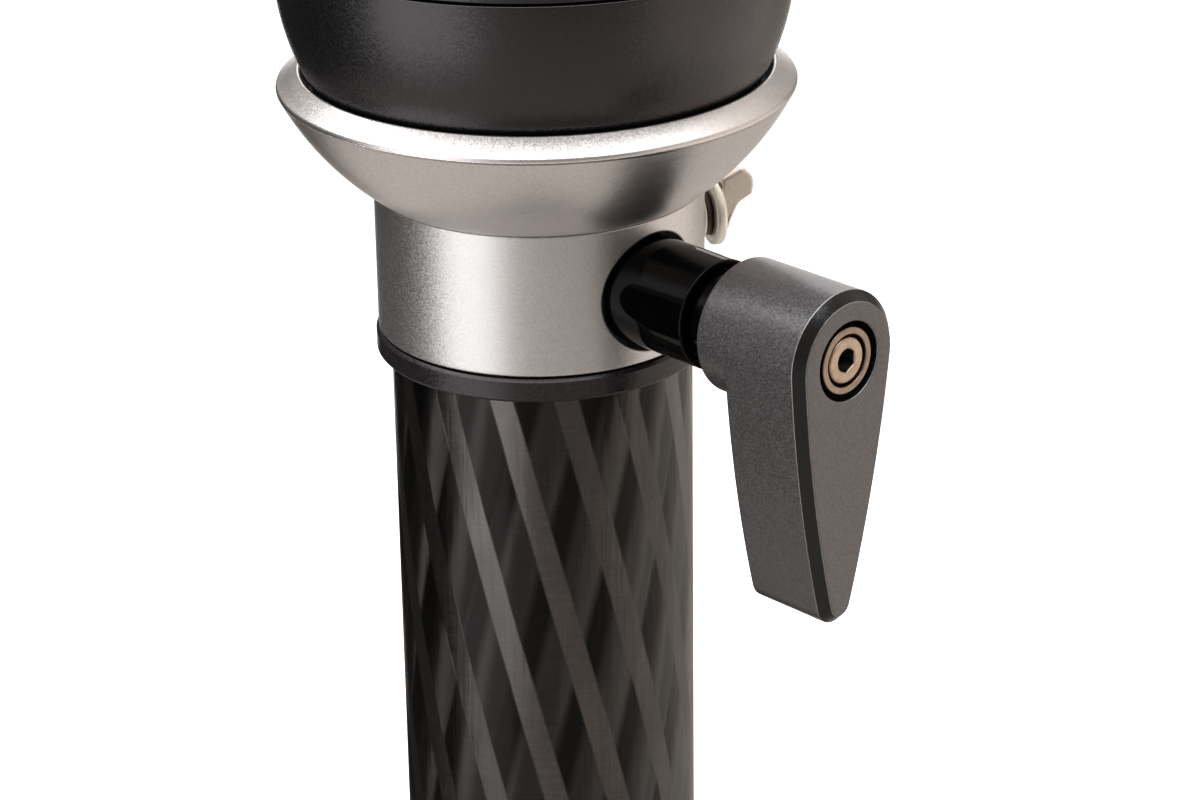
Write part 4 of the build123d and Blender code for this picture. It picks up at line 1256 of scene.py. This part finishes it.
# How far the socket's painted shade reaches from the shaft's line, how deep it goes, and how far below the head's
# face it stops.
socket_shade_reach, socket_shade_depth, socket_shade_rim = socket_width * 0.62, socket_depth + 1, 0.08
socket_finish = socket_with_painted_shade(socket_shade_reach, screw_high - socket_shade_depth, screw_high - socket_shade_rim)
make_piece("socket_screw", [socket_screw()], socket_finish, "lever_screw")

# %% [markdown]
# The cam shaft crosses the collar. Its black flange is the dark disc between bush and lever.
# The cam in the middle is a little off the shaft's line, so it's turned about an axis of its own.

# %% Cam shaft
shaft_low, shaft_high = reaches("cam_shaft")
far_radius, cam_radius, cam_throw, cam_half = 2.4, 3.2, 0.7, 4.0
flange_radius, flange_start, flange_end, flange_edge = 5.5, 30.3, 33.5, 0.35
spindle_radius = 2.2
cam_axis = axis_through((0, 0, shaft_height - cam_throw), (1, 0, 0), (0, 1, 0))
shaft_outline = [
    (0, cam_half),
    (journal, cam_half, small_edge),
    (journal, flange_start),
    (flange_radius, flange_start, flange_edge),
    (flange_radius, flange_end, flange_edge),
    (spindle_radius, flange_end),
    (spindle_radius, shaft_high, small_edge),
    (screw_radius, shaft_high),
    (screw_radius, screw_low),
    (0, screw_low),
]
shaft_sheets = [
    turned(band(0, far_radius, shaft_low, -cam_half, low_edge=soft_edge), shaft_axis),
    turned(band(0, cam_radius, -cam_half, cam_half, small_edge, small_edge), cam_axis),
    turned(shaft_outline, shaft_axis),
]
make_piece("cross_shaft", shaft_sheets, gloss, "cam_shaft")

# %% [markdown]
# The lever is pulled outward against a coil spring, so that it can be set anew on its teeth.
# The coil is a wire's circle carried along a helix. The share of its length that is left when the
# lever is pulled by its full length is worked out, with the coil's outer end as the anchor.

# %% Lever spring
spring_low, spring_high = reaches("lever_spring")
spring_turns, wire_radius = 4, 0.28
coil_radius = radius_of("lever_spring") - wire_radius
pull_length = joints["lever_pull"]["range_m"][1] / MILLIMETRE


def coiled(axis, radius, wire, low, high, turns, rows_per_turn=64, columns=16):
    """A coil: centre(t) = radius on the helix at t, and round it wire * (cos w * outward + sin w * along)."""
    turn_angle = np.linspace(0, 2 * np.pi * turns, turns * rows_per_turn + 1)[:, None, None]
    outward = np.cos(turn_angle) * axis.across + np.sin(turn_angle) * axis.beside
    height = low + wire + (high - low - 2 * wire) * turn_angle / turn_angle.max()
    around = np.linspace(0, 2 * np.pi, columns, endpoint=False)[None, :, None]
    centre = axis.origin + height * axis.along + radius * outward
    points = centre + wire * (np.cos(around) * outward + np.sin(around) * axis.along)
    middle = np.broadcast_to(centre, points.shape)
    return Sheet(np.concatenate([middle[:1], points, middle[-1:]]), False, True)


spring_coil = coiled(shaft_axis, coil_radius, wire_radius, spring_low, spring_high, spring_turns)
make_piece("pull_spring", [spring_coil], bright_steel, "lever_spring")
spring_anchor = (spring_high * MILLIMETRE, 0, shaft_height * MILLIMETRE)
pressed_share = (spring_high - spring_low - pull_length) / (spring_high - spring_low)
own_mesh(bpy.data.objects["pull_spring"])
print("pressed spring keeps", round(pressed_share, 2), "of its length")

# %% [markdown]
# Behind the collar a small flag screw stands out, with a washer and a dark neck. Its flag is a flat plate.
# A flat plate with a soft edge is a stack of copies of its outline: the copies near both faces are drawn in
# a little, along the outline's outward direction, as a quarter circle.

# %% Flag screw behind the collar
washer_outer = 22.2
washer_inner, washer_radius, washer_edge = 20.8, 3.9, 0.5
neck_radius, stud_bore = 2.6, 2.06
rim_reach, rim_radius, rim_edge = 19.86, 3.05, 0.15
flag_base, flag_half, flag_edge = washer_outer + running_gap, 1.3, 0.3
flag_stud_radius, flag_stud_start, flag_overlap = 2.0, 15.0, 0.3
shortest_step, cap_inset = 0.01, 1.5


def slab(corners, axis, half_width, edge, steps=6):
    """A flat plate about an axis, from outline points in (reach, rise).

    point = outline - edge * (1 - cos) * outward, and the width grows by edge * (1 - sin) at the same time.
    """
    outline = rounded(corners, steps)
    gap = np.linalg.norm(outline - np.roll(outline, 1, axis=0), axis=1)
    outline = outline[gap > shortest_step]
    flow = unit(np.roll(outline, -1, axis=0) - np.roll(outline, 1, axis=0))
    outward = np.stack([flow[:, 1], -flow[:, 0]], 1)
    bend = np.linspace(0, np.pi / 2, steps)
    cap = [edge * cap_inset]
    inset = np.concatenate([cap, edge * (1 - np.sin(bend)), edge * (1 - np.cos(bend)), cap])
    near_face, far_face = -half_width + edge * (1 - np.cos(bend)), half_width - edge * (1 - np.sin(bend))
    width = np.concatenate([[-half_width], near_face, far_face, [half_width]])
    rows = outline[None] - inset[:, None, None] * outward[None]
    middle = np.broadcast_to(outline.mean(0), rows[:1].shape)
    rows = np.concatenate([middle, rows, middle])
    width = np.concatenate([width[:1], width, width[-1:]])[:, None, None]
    points = axis.origin + rows[..., :1] * axis.along + rows[..., 1:] * axis.across + width * axis.beside
    return Sheet(points, False, True)


upright_side = axis_through(side_axis.origin, side_axis.along, (0, 0, 1))
washer_outline = band(stud_bore, washer_radius, washer_inner, washer_outer, washer_edge, washer_edge)
rim_outline = band(stud_bore, rim_radius, collar_radius, rim_reach, fine_edge, rim_edge)
washer_sheets = [turned(washer_outline, side_axis, 128), turned(rim_outline, side_axis, 128)]
make_piece("flag_washer", washer_sheets, cream_steel, "side_washer")
neck_outline = band(stud_bore, neck_radius, rim_reach, washer_inner)
make_piece("flag_neck", [turned(neck_outline, side_axis, 128)], neck_steel, "side_spacer")

# Each corner is the way out from the flag's base, the way up from its middle, and the rounding.
flag_corners = [
    (flag_base, -1.9, 0.34),
    (flag_base + 0.8, -1.9, 0.34),
    (flag_base + 1.2, -0.6, 1.5),
    (flag_base + 2.1, 1.3, 1.6),
    (flag_base + 3.8, 2.3, 0.5),
    (flag_base + 4.1, 4.3, 1.8),
    (flag_base + 2.6, 5.6, 0.5),
    (flag_base, 4.35, 0.4),
]
stud_outline = band(0, flag_stud_radius, flag_stud_start, flag_base + flag_overlap, low_edge=soft_edge)
flag_sheets = [slab(flag_corners, upright_side, flag_half, flag_edge), turned(stud_outline, side_axis, 96)]
make_piece("flag_screw", flag_sheets, flag_steel, "side_flag_screw")

# %% [markdown]
# A twist lock is a bonded sleeve, a collar that turns over it, and a rubber grip with grooves along it.
# The grip's reach follows a rule: inside a groove it is the edge of a small circle about the groove's middle.

# %% Twist locks
sleeve_wall, seat_step, sleeve_length_up, flange_height = 1.6, 0.4, 14.0, 3.0
flange_low_edge, flange_high_edge = 0.25, 0.8
tube_gap, seat_gap = 0.3, 0.3
skirt_bevel, skirt_edge, skirt_inner_edge = 1.0, 0.25, 0.15
grip_thickness, grip_edge, grip_floor = 1.8, 0.8, 0.3
grip_plain, grip_rows = 2, 7
groove_count, groove_radius = 20, 0.9


def grooved(corners, outer, columns_per_groove=20, steps=5):
    """A turned ring, drawn in by sqrt(groove_radius^2 - y^2) at a distance y from each groove's middle."""
    outline = rounded(corners, steps)
    columns = groove_count * columns_per_groove
    angle = np.linspace(0, 2 * np.pi, columns, endpoint=False)
    beside = outer * (((angle * groove_count / (2 * np.pi) + 0.5) % 1) - 0.5) * 2 * np.pi / groove_count
    depth = np.sqrt(np.maximum(groove_radius**2 - beside**2, 0))
    deepest = outer - grip_thickness + grip_floor
    reach = np.minimum(outline[:, :1], np.maximum(outer - depth, deepest)[None, :])
    return Sheet(around_leg(reach, angle[None, :], outline[:, 1:]), True, True)


for number in three:
    outer = radius_of("leg_tube_" + number)
    sleeve_low, sleeve_high = heights("lock_sleeve_" + number)
    lip_low, skirt_high = heights("lock_collar_" + number)
    grip_low, grip_high = heights("lock_grip_" + number)
    sleeve_outer = outer + sleeve_wall
    collar_outer = radius_of("lock_collar_" + number)
    collar_inner = sleeve_outer + running_gap
    grip_outer = collar_outer + grip_thickness
    next_outer = radius_of("leg_tube_" + str(int(number) + 1)) + tube_gap
    sleeve_outline = [
        (outer - seat_step, sleeve_low, fine_edge),
        (sleeve_outer, sleeve_low, small_edge),
        (sleeve_outer, sleeve_high - flange_height),
        (collar_outer, sleeve_high - flange_height, flange_low_edge),
        (collar_outer, sleeve_high, flange_high_edge),
        (outer, sleeve_high, fine_edge),
        (outer, sleeve_high - sleeve_length_up - flange_height),
        (outer - seat_step, sleeve_high - sleeve_length_up - flange_height),
    ]
    skirt_outline = [
        (next_outer, lip_low, soft_edge),
        (collar_outer - skirt_bevel, lip_low, skirt_edge),
        (collar_outer, lip_low + skirt_bevel, skirt_edge),
        (collar_outer, skirt_high, soft_edge),
        (collar_inner, skirt_high, skirt_inner_edge),
        (collar_inner, sleeve_low - seat_gap),
        (next_outer, sleeve_low - seat_gap, fine_edge),
    ]
    grip_heights = np.linspace(grip_low + grip_plain, grip_high - grip_plain, grip_rows)
    grip_outline = [
        (collar_outer, grip_low),
        (grip_outer, grip_low, grip_edge),
        *[(grip_outer, height) for height in grip_heights],
        (grip_outer, grip_high, grip_edge),
        (collar_outer, grip_high),
    ]
    make_piece("sleeve_" + number, [turned(sleeve_outline, leg_axis)], anodised, "lock_sleeve_" + number)
    make_piece("skirt_" + number, [turned(skirt_outline, leg_axis)], anodised, "lock_collar_" + number)
    make_piece("grip_" + number, [grooved(grip_outline, grip_outer)], black_rubber, "lock_grip_" + number)

# %% [markdown]
# The base turns on a journal of the foot plug. Its hub is milled from one round block, with three slots for
# the feet. Its measured shape is right, so it is copied, its double points are merged, and a small bevel
# softens every edge.

# %% Base plug, washer, nut and hub
plug_low, plug_high = heights("base_plug")
washer_low, washer_high = heights("base_washer")
nut_low, nut_high = heights("base_nut")
inner_tube_bore = radius_of("leg_tube_4") - tube_wall
inner_tube_low = heights("leg_tube_4")[0]
plug_flange, plug_bevel, plug_edge = 14.0, 1.0, 0.5
base_journal, base_thread, washer_reach, nut_radius, nut_edge = 8.0, 5.0, 13.0, 10.0, 0.6
plug_outline = [
    (0, plug_low),
    (base_thread, plug_low, plug_edge),
    (base_thread, nut_high),
    (base_journal, nut_high, small_edge),
    (base_journal, washer_high),
    (plug_flange - plug_bevel, washer_high + running_gap, small_edge),
    (plug_flange, washer_high + (plug_bevel + running_gap), soft_edge),
    (plug_flange, inner_tube_low - plug_bevel, soft_edge),
    (plug_flange - plug_bevel, inner_tube_low, small_edge),
    (inner_tube_bore, inner_tube_low),
    (inner_tube_bore, plug_high, plug_edge),
    (0, plug_high),
]
washer_ring = band(base_journal + running_gap, washer_reach, washer_low, washer_high, small_edge, small_edge)
nut_ring = [
    (base_thread, nut_low, small_edge),
    (nut_radius, nut_low, nut_edge),
    (nut_radius, nut_high, small_edge),
    (base_thread, nut_high),
]
make_piece("foot_plug", [turned(plug_outline, leg_axis)], anodised, "base_plug")
make_piece("thrust_washer", [turned(washer_ring, leg_axis)], black_nylon, "base_washer")
make_piece("round_nut", [turned(nut_ring, leg_axis)], bright_steel, "base_nut")


def softened(name, node, finish, width):
    """A merged copy of a node's own mesh, with a small bevel on every sharp edge."""
    mesh = frame["nodes"][node].data.copy()
    work = bmesh.new()
    work.from_mesh(mesh)
    bmesh.ops.remove_doubles(work, verts=work.verts, dist=merge_distance * MILLIMETRE)
    bmesh.ops.dissolve_limit(work, angle_limit=math.radians(1), verts=work.verts, edges=work.edges)
    work.to_mesh(mesh)
    work.free()
    piece = bpy.data.objects.new(name, mesh)
    bevel = piece.modifiers.new("soft_edges", "BEVEL")
    bevel.width, bevel.segments = width * MILLIMETRE, 3
    bevel.limit_method, bevel.angle_limit = "ANGLE", math.radians(35)
    bevel.use_clamp_overlap = True
    stands_for(piece, finish, [node])


softened("milled_hub", "base_hub", anodised, 0.3)

# %% [markdown]
# Each foot is a bar that gets slimmer towards its end. Its rows are rounded rectangles at stations along it,
# and round the hinge the rows follow the boss. The boot is a second set of rows that starts inside,
# at the bar's own skin.

# %% Feet
foot_root, foot_tip, foot_half_width, foot_end = 5.2, 3.8, 5.8, 146.0
foot_end_edge = 0.4
boss_radius, foot_corner = 6.0, 1.0
boot_radius, boot_centre, boot_start, boot_corner = 6.7, 150.0, 138.0, 1.5
boot_inset, boot_plain, boot_edge = 6.0, 1.5, 0.5
boot_groove, boot_groove_count, boot_taper = 0.35, 4, 0.9
foot_droop = math.radians(20)
pin_radius, pin_half, pin_edge = 2.0, 15.97, 0.35
fullest_corner = 0.9


def rows_of_sections(stations, axis, corner_steps=4):
    """Rounded rectangles along an axis; a station is (reach, half height, half width, corner radius)."""
    rows = []
    for reach, half_height, half_width, corner in stations:
        corner = min(corner, fullest_corner * half_height, fullest_corner * half_width)
        section = rounded([
            (-half_height, -half_width, corner), (half_height, -half_width, corner),
            (half_height, half_width, corner), (-half_height, half_width, corner),
        ], corner_steps)
        upward, sideways = section[:, :1] * axis.across, section[:, 1:] * axis.beside
        rows.append(axis.origin + reach * axis.along + upward + sideways)
    return Sheet(np.stack(rows), False, True)


tiny = 0.00001
boss_angles = np.radians(np.linspace(90, 0, 17))
boss_stations = [
    (-boss_radius * math.sin(a), max(boss_radius * math.cos(a), tiny), foot_half_width, foot_corner)
    for a in boss_angles
]


def bar_height(reach):
    """Half the bar's height at a reach from its hinge."""
    slope = foot_root + (foot_tip - foot_root) * reach / foot_end
    return max(slope, math.sqrt(max(boss_radius**2 - reach**2, 0)))


bar_reaches = (0.5, 1, 1.5, 2, 2.5, 3, 3.6, 10, 40, 80, 120, foot_end - foot_end_edge)
bar_stations = boss_stations + [
    (reach, bar_height(reach), foot_half_width, foot_corner) for reach in bar_reaches
] + [
    (foot_end, bar_height(foot_end) - foot_end_edge, foot_half_width - foot_end_edge, foot_corner),
    (foot_end, tiny, tiny, tiny),
]


def boot_height(reach):
    """Half the boot's height: full up to its round end, less in each groove of its tread."""
    full = math.sqrt(max(boot_radius**2 - max(reach - boot_centre, 0) ** 2, 0))
    share = (reach - boot_start - boot_plain) / (boot_centre - boot_start)
    wave = 0.5 - 0.5 * math.cos(2 * math.pi * boot_groove_count * share)
    return max(full - (boot_groove * wave if 0 < share < 1 else 0), tiny)


boot_edge_bends = np.linspace(0, math.pi / 2, 5)
boot_end_bends = np.radians(np.linspace(5, 90, 18))
boot_back = boot_start + boot_inset
boot_stations = [
    (boot_back, tiny, tiny, tiny),
    (boot_back, bar_height(boot_back), foot_half_width, foot_corner),
    (boot_start, bar_height(boot_start), foot_half_width, foot_corner),
] + [
    (
        boot_start + boot_edge * (1 - math.sin(bend)), boot_radius - boot_edge * (1 - math.cos(bend)),
        boot_radius - boot_edge * (1 - math.cos(bend)), boot_corner,
    )
    for bend in boot_edge_bends[::-1]
] + [
    (reach, boot_height(reach), boot_radius, boot_corner)
    for reach in np.linspace(boot_start + boot_plain, boot_centre, 65)
] + [
    (
        boot_centre + boot_radius * math.sin(bend), max(boot_radius * math.cos(bend), tiny),
        boot_radius - boot_taper * math.sin(bend) ** 2, boot_corner,
    )
    for bend in boot_end_bends
]

pin_outline = band(0, pin_radius, -pin_half, pin_half, pin_edge, pin_edge)
for number in three:
    pivot = np.array(joints["foot_" + number + "_fold"]["pos_m"]) / MILLIMETRE
    outward = unit(pivot * (1, 1, 0))
    along = outward * math.cos(foot_droop) - np.array((0, 0, math.sin(foot_droop)))
    upward = outward * math.sin(foot_droop) + np.array((0, 0, math.cos(foot_droop)))
    foot_axis = axis_through(pivot, along, upward)
    pin_axis = axis_through(pivot, foot_axis.beside, foot_axis.along)
    names = {part: "foot_" + part + "_" + number for part in ("arm", "boot", "pin")}
    make_piece("bar_" + number, [rows_of_sections(bar_stations, foot_axis)], anodised, names["arm"])
    make_piece("tread_" + number, [rows_of_sections(boot_stations, foot_axis)], black_rubber, names["boot"])
    make_piece("hinge_pin_" + number, [turned(pin_outline, pin_axis, 64)], bright_steel, names["pin"])

# %% [markdown]
# What lies inside, or shows only through a gap, keeps its measured shape and gets a finish of its own.
# Its mesh isn't touched: only the material in each of its slots changes.

# %% Finishes of the pieces that keep their measured shape
kept_finishes = {
    blasted: ["leg_spigot", "clamp_cap"],
    bronze_steel: ["lever_insert"],
    bright_steel: ["bowl_screws", "draw_bolt", "cap_nut", "release_spring", "platform_snap_ring"],
    black_nylon: [
        "bowl_liner", "lock_shim_1", "lock_shim_2", "lock_shim_3",
        "guide_bush_2", "guide_bush_3", "guide_bush_4",
    ],
}
for finish, nodes in kept_finishes.items():
    for node in nodes:
        mesh = frame["nodes"][node].data
        for slot in range(len(mesh.materials)):
            mesh.materials[slot] = finish
    print(finish.name, "on", len(nodes), "measured pieces")
